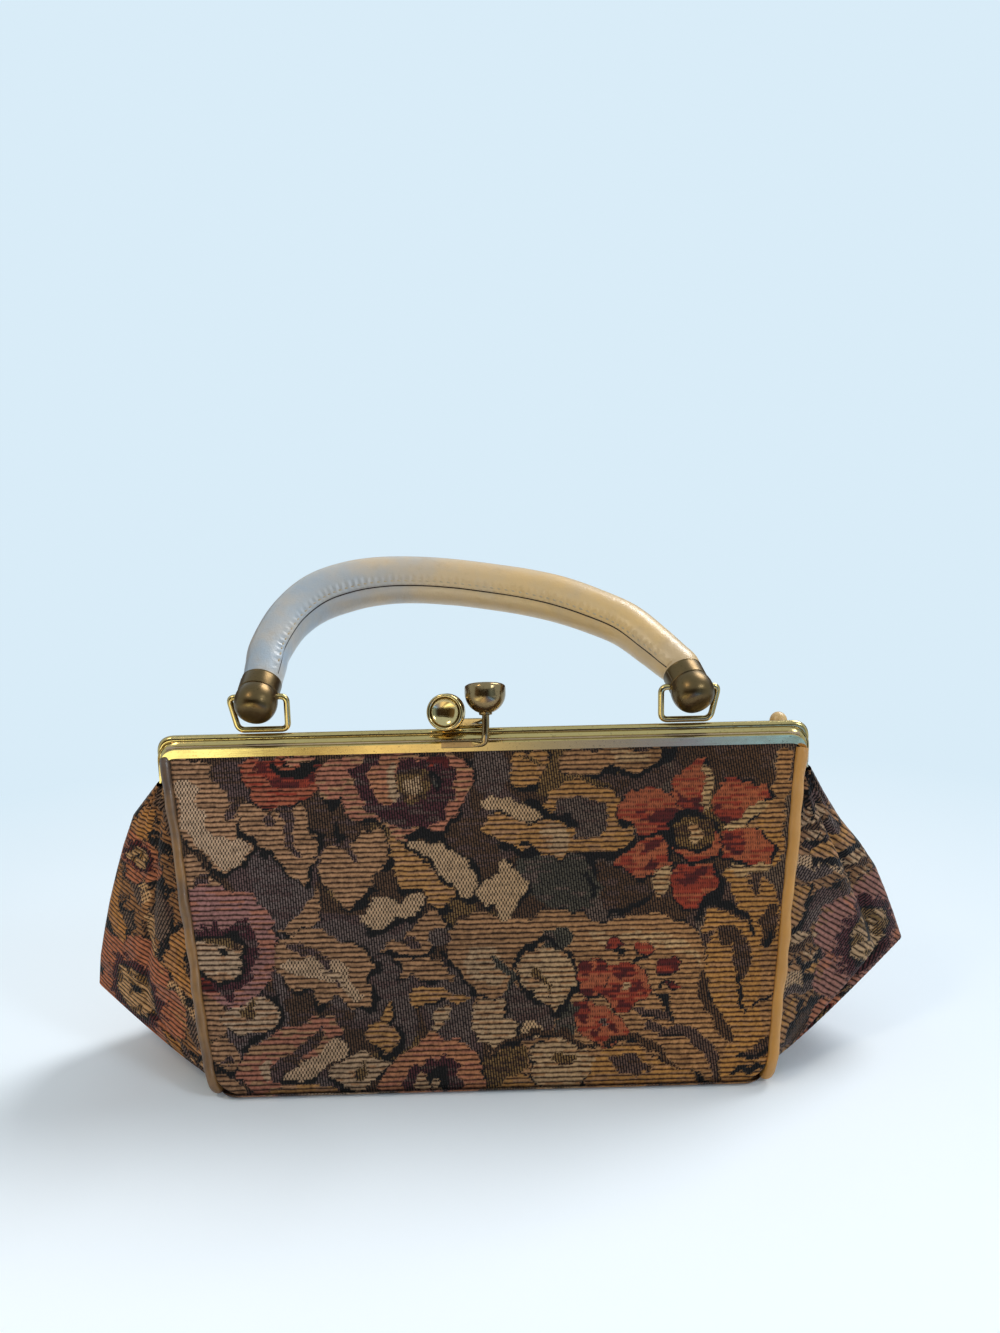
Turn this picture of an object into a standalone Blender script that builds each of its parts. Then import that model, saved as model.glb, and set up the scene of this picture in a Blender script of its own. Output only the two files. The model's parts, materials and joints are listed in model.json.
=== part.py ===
"""Tapestry handbag with a hinged metal frame, a kiss-lock clasp and a swinging handle.

Metres, +Z up. The bag stands on its base with the origin at the middle of the base's underside.
The frame runs along X and the front faces -Y. The front and back panels tilt about fold lines at
the base, each panel carries one half of the frame, and the two halves meet at rivets inside the
folded ends. The handle swings on two wire loops that are brazed to the back half.
"""

from math import atan2, cos, pi, radians, sin, sqrt

import bmesh
import bpy
from mathutils import Matrix, Vector

# Fits
FIT = 0.0003
HINGE_PLAY = 0.0015
CUTTER_OVERRUN = 0.002
WELD = 0.000001

# Base
BASE_LENGTH = 0.1832
BASE_DEPTH = 0.082
BASE_THICKNESS = 0.0018
BASE_CORNER_RADIUS = 0.006
BOARD_THICKNESS = 0.0018
BOARD_INSET = 0.003

# Front and back panels
PANEL_HEIGHT = 0.104
PANEL_TOP_LENGTH = 0.2164
PANEL_THICKNESS = 0.0022
PANEL_CROWN = 0.0035
CARD_THICKNESS = 0.0008
LINING_THICKNESS = 0.0006
LINER_EDGE = 0.0006
LINER_START_SHARE = 0.055
LINER_END_SHARE = 0.93

# Pocket on the back lining
POCKET_LENGTH = 0.11
POCKET_START_SHARE = 0.22
POCKET_END_SHARE = 0.68
POCKET_THICKNESS = 0.0008

# Piping
PIPING_RADIUS = 0.00175
PIPING_CORNER_RADIUS = 0.0075
PIPING_START_SHARE = 0.075
PIPING_END_SHARE = 0.978

# Folded ends
GUSSET_THICKNESS = 0.001
GUSSET_DROP = 0.0085
GUSSET_FOOT = 0.004
GUSSET_LEFT_REACH = 0.1404
GUSSET_RIGHT_REACH = 0.1487
GUSSET_LEFT_TIP_HEIGHT = 0.0245
GUSSET_RIGHT_TIP_HEIGHT = 0.034
GUSSET_TOP_REACH = 0.1138
GUSSET_RIDGE_WIDTH = 0.006
GUSSET_TOP_WIDTH = 0.0092
GUSSET_BOW = 0.0018
# How far the ridge still stands out, from the tip (1) to the frame (0), against the height share
GUSSET_HEIGHT_SHARES = (0.0, 0.14, 0.28, 0.42, 0.56, 0.7, 0.85, 1.0)
GUSSET_LEFT_SHARES = (1.0, 0.95, 0.86, 0.76, 0.64, 0.51, 0.34, 0.0)
GUSSET_RIGHT_SHARES = (1.0, 0.91, 0.81, 0.7, 0.53, 0.32, 0.15, 0.0)
GUSSET_LINING_EDGE = 0.005
GUSSET_LINING_DROP = 0.013

# Frame halves
RAIL_DEPTH = 0.00535
RAIL_WALL = 0.0008
RAIL_HEIGHT = 0.0047
RAIL_RISE = 0.0015
FRONT_RAIL_LENGTH = 0.2266
BACK_RAIL_LENGTH = 0.229
RAIL_CORNER_RADIUS = 0.0035
PANEL_SEAT = 0.0042
BEAD_RADIUS = 0.0015
BEAD_RISE = 0.0018
BEAD_DROP = 0.016
CORD_RADIUS = 0.0015
STUB_DROP = 0.0035

# Legs and rivets of the frame halves
LEG_THICKNESS = 0.001
LEG_WIDTH = 0.0026
LEG_SHIFT = 0.0021
LEG_KNEE_DROP = 0.0095
LEG_TAPER = 0.0021
HINGE_DROP = 0.038
EYE_RADIUS = 0.005
RIVET_RADIUS = 0.0012
RIVET_HEAD_RADIUS = 0.0024
RIVET_HEAD_HEIGHT = 0.0008
HEAD_CROWN_SHARE = 0.7

# Clasp
CLASP_OFFSET = -0.0057
CLASP_SPREAD = 0.0131
CLASP_FRONT_HEIGHT = 0.0136
CLASP_BACK_HEIGHT = 0.0089
FRONT_CUP_RADIUS = 0.0071
BACK_CUP_RADIUS = 0.0064
CUP_DEPTH = 0.0106
CUP_LIP = 0.0009
DISH_DEPTH = 0.0022
FRONT_CUP_TILT = radians(-20)
BACK_CUP_TILT = radians(78)
BACK_CUP_TURN = radians(-10)
POST_RADIUS = 0.0013
POST_SOCKET = 0.0026
CLASP_PLATE_THICKNESS = 0.001
FRONT_STRIP_LENGTH = 0.0155
FRONT_STRIP_WIDTH = 0.0026
BACK_PLATE_LENGTH = 0.014
BACK_PLATE_HEIGHT = 0.0044
FRONT_CUP_DEPTH = 0.0035
BACK_CUP_DEPTH = 0.0025

# Handle loops
LOOP_WIRE_RADIUS = 0.0011
LOOP_SPAN = 0.1504
LOOP_OFFSET = -0.003
LOOP_TOP_WIDTH = 0.02
LOOP_BAR_WIDTH = 0.0172
LOOP_HEIGHT = 0.0116
LOOP_CORNER_RADIUS = 0.0018
LOOP_END_REACH = 0.0045

# Handle
HANDLE_LEAN = radians(55)
HANDLE_RISE = 0.0576
HANDLE_RADIUS = 0.009
HANDLE_END_RADIUS_SHARE = 0.69
HANDLE_CORE_SHARE = 0.5
HANDLE_START = 0.003
# Centreline of the grip: across as shares of half the span, up as shares of the rise
HANDLE_ACROSS_SHARES = (
    -1.0, -0.995, -0.989, -0.98, -0.968, -0.899, -0.778, -0.618, -0.445, -0.267,
    -0.089, 0.086, 0.261, 0.43, 0.589, 0.739, 0.859, 0.932, 0.968, 0.977, 0.9884, 1.0,
)
HANDLE_UP_SHARES = (
    0.0, 0.057, 0.1146, 0.243, 0.4, 0.649, 0.845, 0.953, 0.998, 0.998,
    0.969, 0.92, 0.861, 0.78, 0.67, 0.536, 0.347, 0.22, 0.16, 0.1146, 0.057, 0.0,
)
CAP_WALL = 0.0006
CAP_DROP = 0.0022
CAP_ABOVE = 0.0028
CAP_RIM = 0.0002
CAP_RIM_HEIGHT = 0.0012

# Facets
PANEL_COLUMNS = 16
PANEL_ROWS = 10
TURN_STEPS = 28
ARC_STEPS = 6
HANDLE_STEPS = 44
SHELL_FACETS = 3

# Derived places
FOLD_HEIGHT = BASE_THICKNESS + FIT + PANEL_THICKNESS / 2
FOLD_Y = BASE_DEPTH / 2
SEAT_Y = FIT / 2 + PANEL_SEAT
SEAT_HEIGHT = FOLD_HEIGHT + PANEL_HEIGHT
GUSSET_TOP = SEAT_HEIGHT - GUSSET_DROP
GUSSET_LINING_TOP = SEAT_HEIGHT - GUSSET_LINING_DROP
PANEL_LEAN = atan2(FOLD_Y - SEAT_Y, PANEL_HEIGHT)
RAIL_BOTTOM = SEAT_HEIGHT + RAIL_RISE
RAIL_TOP = RAIL_BOTTOM + RAIL_HEIGHT
BEAD_TOP = RAIL_TOP + BEAD_RISE
BEAD_Y = FIT / 2 + BEAD_RADIUS
HINGE_HEIGHT = SEAT_HEIGHT - HINGE_DROP
CAP_BORE_RADIUS = HANDLE_RADIUS * HANDLE_END_RADIUS_SHARE + 2 * FIT
PIVOT_HEIGHT = BEAD_TOP + FIT + LOOP_WIRE_RADIUS + LOOP_HEIGHT
GUSSET_FLOOR = 2 * FIT + 2 * PIPING_RADIUS + GUSSET_THICKNESS / 2
BASE_LAYERS = BASE_THICKNESS + BOARD_THICKNESS + LINING_THICKNESS + 2 * FIT
GUSSET_LINING_FLOOR = BASE_LAYERS + FIT
BACK_LEG_X = BACK_RAIL_LENGTH / 2 - LEG_SHIFT - LEG_THICKNESS
FRONT_LEG_X = BACK_LEG_X - FIT - LEG_THICKNESS

FRONT, BACK = -1, 1
LEFT, RIGHT = -1, 1


def clear_scene():
    for obj in list(bpy.data.objects):
        bpy.data.objects.remove(obj)


def collection(name):
    made = bpy.data.collections.new(name)
    bpy.context.scene.collection.children.link(made)
    return made


def material(name, colour, roughness, metallic=0.0):
    made = bpy.data.materials.new(name)
    made.use_nodes = True
    shader = made.node_tree.nodes["Principled BSDF"]
    shader.inputs["Base Color"].default_value = (*colour, 1)
    shader.inputs["Roughness"].default_value = roughness
    shader.inputs["Metallic"].default_value = metallic
    made.diffuse_color = (*colour, 1)
    return made


def add_object(name, data, look):
    obj = bpy.data.objects.new(name, data)
    PARTS.objects.link(obj)
    if look:
        obj.data.materials.append(look)
    return obj


def mesh_object(name, mesh_data, look):
    """Links a bmesh as a named object, with its round faces shaded smooth."""
    bmesh.ops.recalc_face_normals(mesh_data, faces=mesh_data.faces)
    data = bpy.data.meshes.new(name)
    mesh_data.to_mesh(data)
    mesh_data.free()
    data.shade_smooth()
    data.set_sharp_from_angle(angle=radians(35))
    return add_object(name, data, look)


def evaluated(obj):
    """A mesh object with everything on this one applied. It takes this one's name and place."""
    bpy.context.view_layer.update()
    graph = bpy.context.evaluated_depsgraph_get()
    data = bpy.data.meshes.new_from_object(obj.evaluated_get(graph))
    name, place = obj.name, obj.matrix_world.copy()
    shape = bmesh.new()
    shape.from_mesh(data)
    bmesh.ops.remove_doubles(shape, verts=shape.verts, dist=WELD)
    shape.to_mesh(data)
    shape.free()
    looks = list(obj.data.materials)
    bpy.data.objects.remove(obj)
    made = add_object(name, data, None)
    data.materials.clear()
    for look in looks:
        data.materials.append(look)
    made.matrix_world = place
    data.shade_smooth()
    data.set_sharp_from_angle(angle=radians(35))
    return made


def join_or_cut(target, other, operation):
    """Adds a Boolean. A joined piece or a cutter goes to the cutters' collection, hidden."""
    modifier = target.modifiers.new(operation.title(), "BOOLEAN")
    modifier.operation = operation
    modifier.solver = "EXACT"
    modifier.object = other
    for holder in list(other.users_collection):
        holder.objects.unlink(other)
    CUTTERS.objects.link(other)
    other.hide_render = True
    other.display_type = "WIRE"


def box(name, low, high, look=None):
    """A box between two corners, from the unit cube."""
    shape = bmesh.new()
    bmesh.ops.create_cube(shape, size=1)
    low, high = Vector(low), Vector(high)
    size = high - low
    bmesh.ops.scale(shape, vec=size, verts=shape.verts)
    bmesh.ops.translate(shape, vec=(low + high) / 2, verts=shape.verts)
    return mesh_object(name, shape, look)


def cylinder_x(name, start, end, radius, look=None):
    """A round bar along X between two x places, at the y and z of the start."""
    shape = bmesh.new()
    length = abs(end - start[0])
    bmesh.ops.create_cone(
        shape, cap_ends=True, segments=TURN_STEPS, radius1=radius, radius2=radius, depth=length
    )
    middle = ((start[0] + end) / 2, start[1], start[2])
    bmesh.ops.transform(
        shape, matrix=Matrix.Translation(middle) @ Matrix.Rotation(pi / 2, 4, "Y"), verts=shape.verts
    )
    return mesh_object(name, shape, look)


def arc(centre, radius, start, end, steps=ARC_STEPS):
    """Points of an arc in a plane, with both of its ends."""
    return [
        (
            centre[0] + radius * cos(start + (end - start) * i / steps),
            centre[1] + radius * sin(start + (end - start) * i / steps),
        )
        for i in range(steps + 1)
    ]


def rounded_path(corners, radius, steps=ARC_STEPS):
    """A path through these corners, each inner one rounded to the radius as far as its sides allow."""
    points = [Vector(c) for c in corners]
    path = [points[0]]
    for before, corner, after in zip(points, points[1:], points[2:]):
        back, on = (before - corner), (after - corner)
        half_turn = back.angle(on) / 2
        reach = min(radius * cos(half_turn) / sin(half_turn), back.length / 2, on.length / 2)
        start, end = corner + back.normalized() * reach, corner + on.normalized() * reach
        for i in range(steps + 1):
            t = i / steps
            path.append(start * (1 - t) ** 2 + corner * 2 * t * (1 - t) + end * t**2)
    path.append(points[-1])
    return path


def smooth_path(points, count):
    """Points of a Catmull-Rom curve through these, spaced evenly along it."""
    points = [Vector(p) for p in points]
    ends = [points[0] * 2 - points[1], *points, points[-1] * 2 - points[-2]]
    fine = []
    for a, b, c, d in zip(ends, ends[1:], ends[2:], ends[3:]):
        square, cube = a * 2 - b * 5 + c * 4 - d, b * 3 - a - c * 3 + d
        for i in range(count):
            t = i / count
            fine.append((b * 2 + (c - a) * t + square * t**2 + cube * t**3) / 2)
    fine.append(points[-1])
    reach = [0.0]
    for a, b in zip(fine, fine[1:]):
        reach.append(reach[-1] + (b - a).length)
    path, at = [], 0
    for i in range(count + 1):
        wanted = reach[-1] * i / count
        while at < len(reach) - 2 and reach[at + 1] < wanted:
            at += 1
        share = (wanted - reach[at]) / (reach[at + 1] - reach[at])
        path.append(fine[at].lerp(fine[at + 1], share))
    return path


def tube(name, points, radius, look, radii=None, resolution=2):
    """A round tube along these points, as a poly curve with a bevel and filled caps."""
    data = bpy.data.curves.new(name, "CURVE")
    data.dimensions = "3D"
    data.bevel_depth = radius
    data.bevel_resolution = resolution
    data.use_fill_caps = True
    spline = data.splines.new("POLY")
    spline.points.add(len(points) - 1)
    for i, point in enumerate(points):
        spline.points[i].co = (*point, 1)
        spline.points[i].radius = radii[i] if radii else 1
    spline.use_smooth = True
    return add_object(name, data, look)


def flat_outline(name, points, depth, look):
    """A closed outline in X and Y with this depth to both sides of its plane, as a filled 2D curve."""
    data = bpy.data.curves.new(name, "CURVE")
    data.dimensions = "2D"
    data.fill_mode = "BOTH"
    data.extrude = depth / 2
    spline = data.splines.new("POLY")
    spline.points.add(len(points) - 1)
    for point, (x, y) in zip(spline.points, points):
        point.co = (x, y, 0, 1)
    spline.use_cyclic_u = True
    return add_object(name, data, look)


def turned(name, profile, look):
    """A profile in radius and height, revolved about Z. It runs down the outer side."""
    shape = bmesh.new()
    verts = [shape.verts.new((r, 0, z)) for r, z in profile]
    for a, b in zip(verts, verts[1:]):
        shape.edges.new((a, b))
    data = bpy.data.meshes.new(name)
    shape.to_mesh(data)
    shape.free()
    obj = add_object(name, data, look)
    screw = obj.modifiers.new("Turn", "SCREW")
    screw.steps = screw.render_steps = TURN_STEPS
    screw.use_merge_vertices = True
    screw.merge_threshold = WELD
    screw.use_smooth_shade = True
    return obj


def half_length_at(v):
    """Half of the panel's length at a share of the way up from the fold."""
    return (BASE_LENGTH + (PANEL_TOP_LENGTH - BASE_LENGTH) * v) / 2


def share_at(height):
    return (height - FOLD_HEIGHT) / PANEL_HEIGHT


def panel_y(v):
    """Distance of the panel's middle plane from the bag's middle."""
    return FOLD_Y + (SEAT_Y - FOLD_Y) * v


def panel_point(side, u, v, depth):
    """A point on a panel: u across from -1 to 1, v up from 0 to 1, and depth in from its outer face."""
    crown = PANEL_CROWN * (1 - u**2) ** 0.6 * sin(pi * v) ** 0.8
    out = PANEL_THICKNESS / 2 + crown - depth
    return Vector((
        u * half_length_at(v),
        side * (panel_y(v) + out * cos(PANEL_LEAN)),
        FOLD_HEIGHT + PANEL_HEIGHT * v + out * sin(PANEL_LEAN),
    ))


def panel_shell(name, side, depth, thickness, low, high, edge, look, length=None, coarse=2):
    """A sheet that follows the panel at a depth below its outer face, from share low to share high."""
    shape = bmesh.new()
    columns, rows = PANEL_COLUMNS // coarse, PANEL_ROWS // coarse
    bmesh.ops.create_grid(shape, x_segments=columns, y_segments=rows, size=1)
    for vert in shape.verts:
        v = low + (high - low) * (vert.co.y + 1) / 2
        half = half_length_at(v)
        reach = length / 2 if length else half - edge
        vert.co = panel_point(side, vert.co.x * reach / half, v, depth)
    outward = Vector((0, side, 0))
    bmesh.ops.recalc_face_normals(shape, faces=shape.faces)
    if sum((f.normal.dot(outward) for f in shape.faces), 0) < 0:
        bmesh.ops.reverse_faces(shape, faces=shape.faces)
    data = bpy.data.meshes.new(name)
    shape.to_mesh(data)
    shape.free()
    data.shade_smooth()
    obj = add_object(name, data, look)
    solid = obj.modifiers.new("Thickness", "SOLIDIFY")
    solid.thickness = thickness
    solid.offset = -1
    return obj


def panel(name, side):
    """The stiff tapestry panel: a crowned sheet, its edges rounded about the lines that it turns on."""
    obj = panel_shell(name, side, 0, PANEL_THICKNESS, 0, 1, 0, TAPESTRY, coarse=1)
    bevel = obj.modifiers.new("Rolled edge", "BEVEL")
    bevel.width = PANEL_THICKNESS * 0.4
    bevel.segments = 2
    bevel.limit_method = "ANGLE"
    bevel.angle_limit = radians(60)
    return obj


def panel_side(name, side):
    """Everything that a panel carries, from its outer face inwards."""
    panel(f"{name}_panel", side)
    depth = PANEL_THICKNESS + FIT
    edge = LINER_EDGE
    low, high = LINER_START_SHARE, LINER_END_SHARE
    panel_shell(f"card_{name}", side, depth, CARD_THICKNESS, low, high, edge, CARD)
    depth += CARD_THICKNESS + FIT
    panel_shell(f"lining_{name}", side, depth, LINING_THICKNESS, low, high, edge, LINING)
    depth += LINING_THICKNESS + FIT
    if side == BACK:
        low, high = POCKET_START_SHARE, POCKET_END_SHARE
        panel_shell("pocket", side, depth, POCKET_THICKNESS, low, high, edge, LINING, POCKET_LENGTH)
    for end, word in ((LEFT, "left"), (RIGHT, "right")):
        ends = [piping_place(side, end, v) for v in (PIPING_START_SHARE, 0.5, PIPING_END_SHARE)]
        tube(f"piping_{name}_{word}", ends, PIPING_RADIUS, LEATHER)


def piping_place(side, end, v):
    across = half_length_at(v) + FIT + PIPING_RADIUS
    return Vector((end * across, side * panel_y(v), FOLD_HEIGHT + PANEL_HEIGHT * v))


def base():
    """Base panel, its board and lining, and the welts that run under the two ends."""
    half_x, half_y, corner = BASE_LENGTH / 2, BASE_DEPTH / 2 + PANEL_THICKNESS / 2, BASE_CORNER_RADIUS
    outline = []
    for sx, sy, turn in ((1, -1, -pi / 2), (1, 1, 0), (-1, 1, pi / 2), (-1, -1, pi)):
        outline += arc((sx * (half_x - corner), sy * (half_y - corner)), corner, turn, turn + pi / 2)
    sheet = flat_outline("base_panel", outline, BASE_THICKNESS, TAPESTRY)
    sheet.location.z = BASE_THICKNESS / 2
    level = BASE_THICKNESS + FIT
    half_x, half_y = BASE_LENGTH / 2 - BOARD_INSET, FOLD_Y - BOARD_INSET
    board = box("base_board", (-half_x, -half_y, level), (half_x, half_y, level + BOARD_THICKNESS), CARD)
    soften(board, BOARD_THICKNESS / 4)
    level += BOARD_THICKNESS + FIT
    low = LINER_START_SHARE
    depth = PANEL_THICKNESS + CARD_THICKNESS + LINING_THICKNESS + 3 * FIT
    half_y = abs(panel_point(FRONT, 1, low, depth).y) - FIT
    half_x = half_length_at(low) - LINER_EDGE - LINING_THICKNESS
    box("lining_base", (-half_x, -half_y, level), (half_x, half_y, level + LINING_THICKNESS), LINING)
    for end, word in ((LEFT, "left"), (RIGHT, "right")):
        start = piping_place(FRONT, end, PIPING_START_SHARE)
        slope = (start - piping_place(FRONT, end, 0)).normalized()
        start -= slope * 3 * FIT
        floor = FIT + PIPING_RADIUS
        corner = start - slope * ((start.z - floor) / slope.z)
        mirrored = [Vector((p.x, -p.y, p.z)) for p in (corner, start)]
        path = rounded_path([start, corner, *mirrored], PIPING_CORNER_RADIUS)
        tube(f"piping_base_{word}", path, PIPING_RADIUS, LEATHER)


def soften(obj, width, segments=2):
    bevel = obj.modifiers.new("Edge", "BEVEL")
    bevel.width = width
    bevel.segments = segments
    bevel.limit_method = "ANGLE"


def ridge(end, height):
    """How far out the folded end's ridge stands at a height, and half its width there."""
    reach = GUSSET_LEFT_REACH if end == LEFT else GUSSET_RIGHT_REACH
    tip = GUSSET_LEFT_TIP_HEIGHT if end == LEFT else GUSSET_RIGHT_TIP_HEIGHT
    shares = GUSSET_LEFT_SHARES if end == LEFT else GUSSET_RIGHT_SHARES
    root_x, root_y = gusset_edge(GUSSET_FLOOR)
    root_x, root_y = root_x + GUSSET_FOOT, root_y - GUSSET_FOOT
    if height <= tip:
        t = (height - GUSSET_FLOOR) / (tip - GUSSET_FLOOR)
        return root_x + (reach - root_x) * t, root_y + (GUSSET_RIDGE_WIDTH / 2 - root_y) * t
    t = (height - tip) / (GUSSET_TOP - tip)
    for (low, a), (high, b) in zip(
        zip(GUSSET_HEIGHT_SHARES, shares), zip(GUSSET_HEIGHT_SHARES[1:], shares[1:])
    ):
        if t <= high:
            out = a + (b - a) * (t - low) / (high - low)
            break
    width = GUSSET_RIDGE_WIDTH + (GUSSET_TOP_WIDTH - GUSSET_RIDGE_WIDTH) * t**3
    return GUSSET_TOP_REACH + (reach - GUSSET_TOP_REACH) * out, width / 2


def gusset_edge(height):
    """Where the folded end is sewn in behind the piping: distance out and distance from the middle."""
    v = share_at(height)
    x, y = half_length_at(v) + 2 * FIT + PIPING_RADIUS, panel_y(v) - PIPING_RADIUS - FIT
    below = FIT + PIPING_RADIUS + PIPING_CORNER_RADIUS - height
    if below > 0:
        inside = PIPING_CORNER_RADIUS - PIPING_RADIUS - FIT
        y = panel_y(v) - PIPING_CORNER_RADIUS + sqrt(max(0, inside**2 - below**2))
    return x, y


def gusset_section(end, height):
    """One level of the folded end, from its front seam round the ridge to its back seam."""
    (edge_x, edge_y), (out_x, out_y) = gusset_edge(height), ridge(end, height)
    bow = GUSSET_BOW * sin(pi * min(1, max(0, share_at(height))))
    level = []
    for i in range(SHELL_FACETS + 1):
        t = i / SHELL_FACETS
        lift = bow * sin(pi * t)
        level.append((edge_x + (out_x - edge_x) * t + lift, edge_y + (out_y - edge_y) * t + lift))
    half = [Vector((end * x, -y, height)) for x, y in level]
    return half + [Vector((p.x, -p.y, p.z)) for p in reversed(half)]


def gusset_levels(end):
    tip = GUSSET_LEFT_TIP_HEIGHT if end == LEFT else GUSSET_RIGHT_TIP_HEIGHT
    below = [GUSSET_FLOOR + (tip - GUSSET_FLOOR) * i / 4 for i in range(4)]
    return below + [tip + (GUSSET_TOP - tip) * t for t in GUSSET_HEIGHT_SHARES]


def lofted(name, levels, thickness, end, look):
    """A sheet through these levels of points, thickened towards the inside of the bag."""
    shape = bmesh.new()
    rows = [[shape.verts.new(p) for p in level] for level in levels]
    for below, above in zip(rows, rows[1:]):
        for a, b, c, d in zip(below, below[1:], above[1:], above):
            shape.faces.new((a, b, c, d))
    bmesh.ops.recalc_face_normals(shape, faces=shape.faces)
    if sum(f.normal.x * end * f.calc_area() for f in shape.faces) < 0:
        bmesh.ops.reverse_faces(shape, faces=shape.faces)
    data = bpy.data.meshes.new(name)
    shape.to_mesh(data)
    shape.free()
    data.shade_smooth()
    data.set_sharp_from_angle(angle=radians(50))
    obj = add_object(name, data, look)
    solid = obj.modifiers.new("Thickness", "SOLIDIFY")
    solid.thickness = thickness
    solid.offset = -1
    solid.use_even_offset = True
    return obj


def lining_end(height):
    """How far out the ends' lining stands: at the base's edge below, inside the hinge rivets above."""
    low = half_length_at(0) + FIT
    high = FRONT_LEG_X - LEG_TAPER - RIVET_HEAD_HEIGHT - LINING_THICKNESS - 2 * FIT
    return low + (high - low) * min(1, height / HINGE_HEIGHT)


def gussets():
    for end, word in ((LEFT, "left"), (RIGHT, "right")):
        levels = [gusset_section(end, height) for height in gusset_levels(end)]
        lofted(f"gusset_{word}", levels, GUSSET_THICKNESS, end, TAPESTRY)
        inner = []
        for i in range(SHELL_FACETS + 1):
            height = GUSSET_LINING_FLOOR + (GUSSET_LINING_TOP - GUSSET_LINING_FLOOR) * i / SHELL_FACETS
            v = share_at(height)
            x, y = lining_end(height), panel_y(v) - GUSSET_LINING_EDGE
            inner.append([Vector((end * x, y * t, height)) for t in (-1, 0, 1)])
        lofted(f"lining_gusset_{word}", inner, LINING_THICKNESS, end, LINING)


def upright(obj, y):
    """Stands an outline drawn in X and Y up into X and Z, at this y."""
    obj.rotation_euler = (pi / 2, 0, 0)
    obj.location.y = y
    return evaluated(obj)


def rail_outline(half, bottom, top, drop, wall):
    """The rail seen from the front: a band whose rounded ends turn down into short stubs."""
    corner = RAIL_CORNER_RADIUS
    right = arc((half - corner, top - corner), corner, 0, pi / 2)
    left = arc((corner - half, top - corner), corner, pi / 2, pi)
    foot = bottom - drop
    inner = half - wall
    outside = [(half, foot), *right, *left, (-half, foot)]
    return outside + [(-inner, foot), (-inner, bottom), (inner, bottom), (inner, foot)]


def leg_outline(end, x, wall_x):
    """A leg seen from the front: from the rail's stub it bends in at the knee and runs down to the hinge."""
    knee = RAIL_BOTTOM - LEG_KNEE_DROP
    stub = RAIL_BOTTOM - STUB_DROP + LEG_THICKNESS
    ankle = HINGE_HEIGHT + EYE_RADIUS + LEG_WIDTH
    low = x - LEG_TAPER
    inner = [(wall_x - LEG_THICKNESS, stub), (x, knee), (low, ankle), (low, HINGE_HEIGHT)]
    outer = [(a + LEG_THICKNESS, b) for a, b in inner]
    return [(end * a, b) for a, b in outer + inner[::-1]]


def frame_half(name, side, length, leg_x, eye_bore):
    """One half of the frame: an inverted channel, its end stubs, legs and hinge eyes, in one pressing."""
    half = length / 2
    middle = side * (FIT / 2 + RAIL_DEPTH / 2)
    outline = rail_outline(half, RAIL_BOTTOM, RAIL_TOP, STUB_DROP, LEG_THICKNESS)
    rail = upright(flat_outline(f"{name}_rail", outline, RAIL_DEPTH, BRASS), middle)
    inside = half - 2 * LEG_THICKNESS
    groove_y = RAIL_DEPTH / 2 - RAIL_WALL
    groove = box(
        f"{name}_groove",
        (-inside, middle - groove_y, RAIL_BOTTOM - CUTTER_OVERRUN),
        (inside, middle + groove_y, RAIL_TOP - RAIL_WALL),
    )
    join_or_cut(rail, groove, "DIFFERENCE")
    leg_y = side * (FIT + LEG_WIDTH / 2)
    for end, word in ((LEFT, "left"), (RIGHT, "right")):
        outline = leg_outline(end, leg_x, half)
        leg = upright(flat_outline(f"{name}_leg_{word}", outline, LEG_WIDTH, None), leg_y)
        join_or_cut(rail, leg, "UNION")
        foot_x = end * (leg_x - LEG_TAPER)
        outer_x = end * (leg_x - LEG_TAPER + LEG_THICKNESS)
        eye = cylinder_x(f"{name}_eye_{word}", (foot_x, 0, HINGE_HEIGHT), outer_x, EYE_RADIUS)
        join_or_cut(rail, eye, "UNION")
        bore = cylinder_x(
            f"{name}_bore_{word}",
            (foot_x - end * CUTTER_OVERRUN, 0, HINGE_HEIGHT),
            outer_x + end * CUTTER_OVERRUN,
            eye_bore,
        )
        join_or_cut(rail, bore, "DIFFERENCE")
    cord_x = inside - CORD_RADIUS
    cord_z = RAIL_TOP - RAIL_WALL - FIT - CORD_RADIUS
    tube(f"cord_{name}", [(-cord_x, middle, cord_z), (cord_x, middle, cord_z)], CORD_RADIUS, CARD)
    return rail


def bead(rail):
    """The round bead along the back half's top edge, down both corners."""
    x = BACK_RAIL_LENGTH / 2 - BEAD_RADIUS
    top = BEAD_TOP - BEAD_RADIUS
    foot = BEAD_TOP - BEAD_DROP
    corners = [(-x, BEAD_Y, foot), (-x, BEAD_Y, top), (x, BEAD_Y, top), (x, BEAD_Y, foot)]
    path = rounded_path(corners, RAIL_CORNER_RADIUS)
    join_or_cut(rail, evaluated(tube("bead", path, BEAD_RADIUS, None, resolution=3)), "UNION")


def rivets():
    """Hinge rivets: each fits the back half's eye and holds the front half's with play."""
    for end, word in ((LEFT, "left"), (RIGHT, "right")):
        outer = BACK_LEG_X - LEG_TAPER + LEG_THICKNESS + FIT
        inner = FRONT_LEG_X - LEG_TAPER - FIT
        height = RIVET_HEAD_HEIGHT
        head = EYE_RADIUS - FIT
        profile = [
            (0, outer + height),
            (RIVET_HEAD_RADIUS * HEAD_CROWN_SHARE, outer + height),
            (RIVET_HEAD_RADIUS, outer + height / 2),
            (RIVET_HEAD_RADIUS, outer),
            (RIVET_RADIUS, outer),
            (RIVET_RADIUS, inner),
            (head, inner),
            (head, inner - height / 2),
            (head * HEAD_CROWN_SHARE, inner - height),
            (0, inner - height),
        ]
        rivet = turned(f"hinge_rivet_{word}", profile, ANTIQUE)
        rivet.rotation_euler = (0, end * pi / 2, 0)
        rivet.location = (0, 0, HINGE_HEIGHT)


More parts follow.
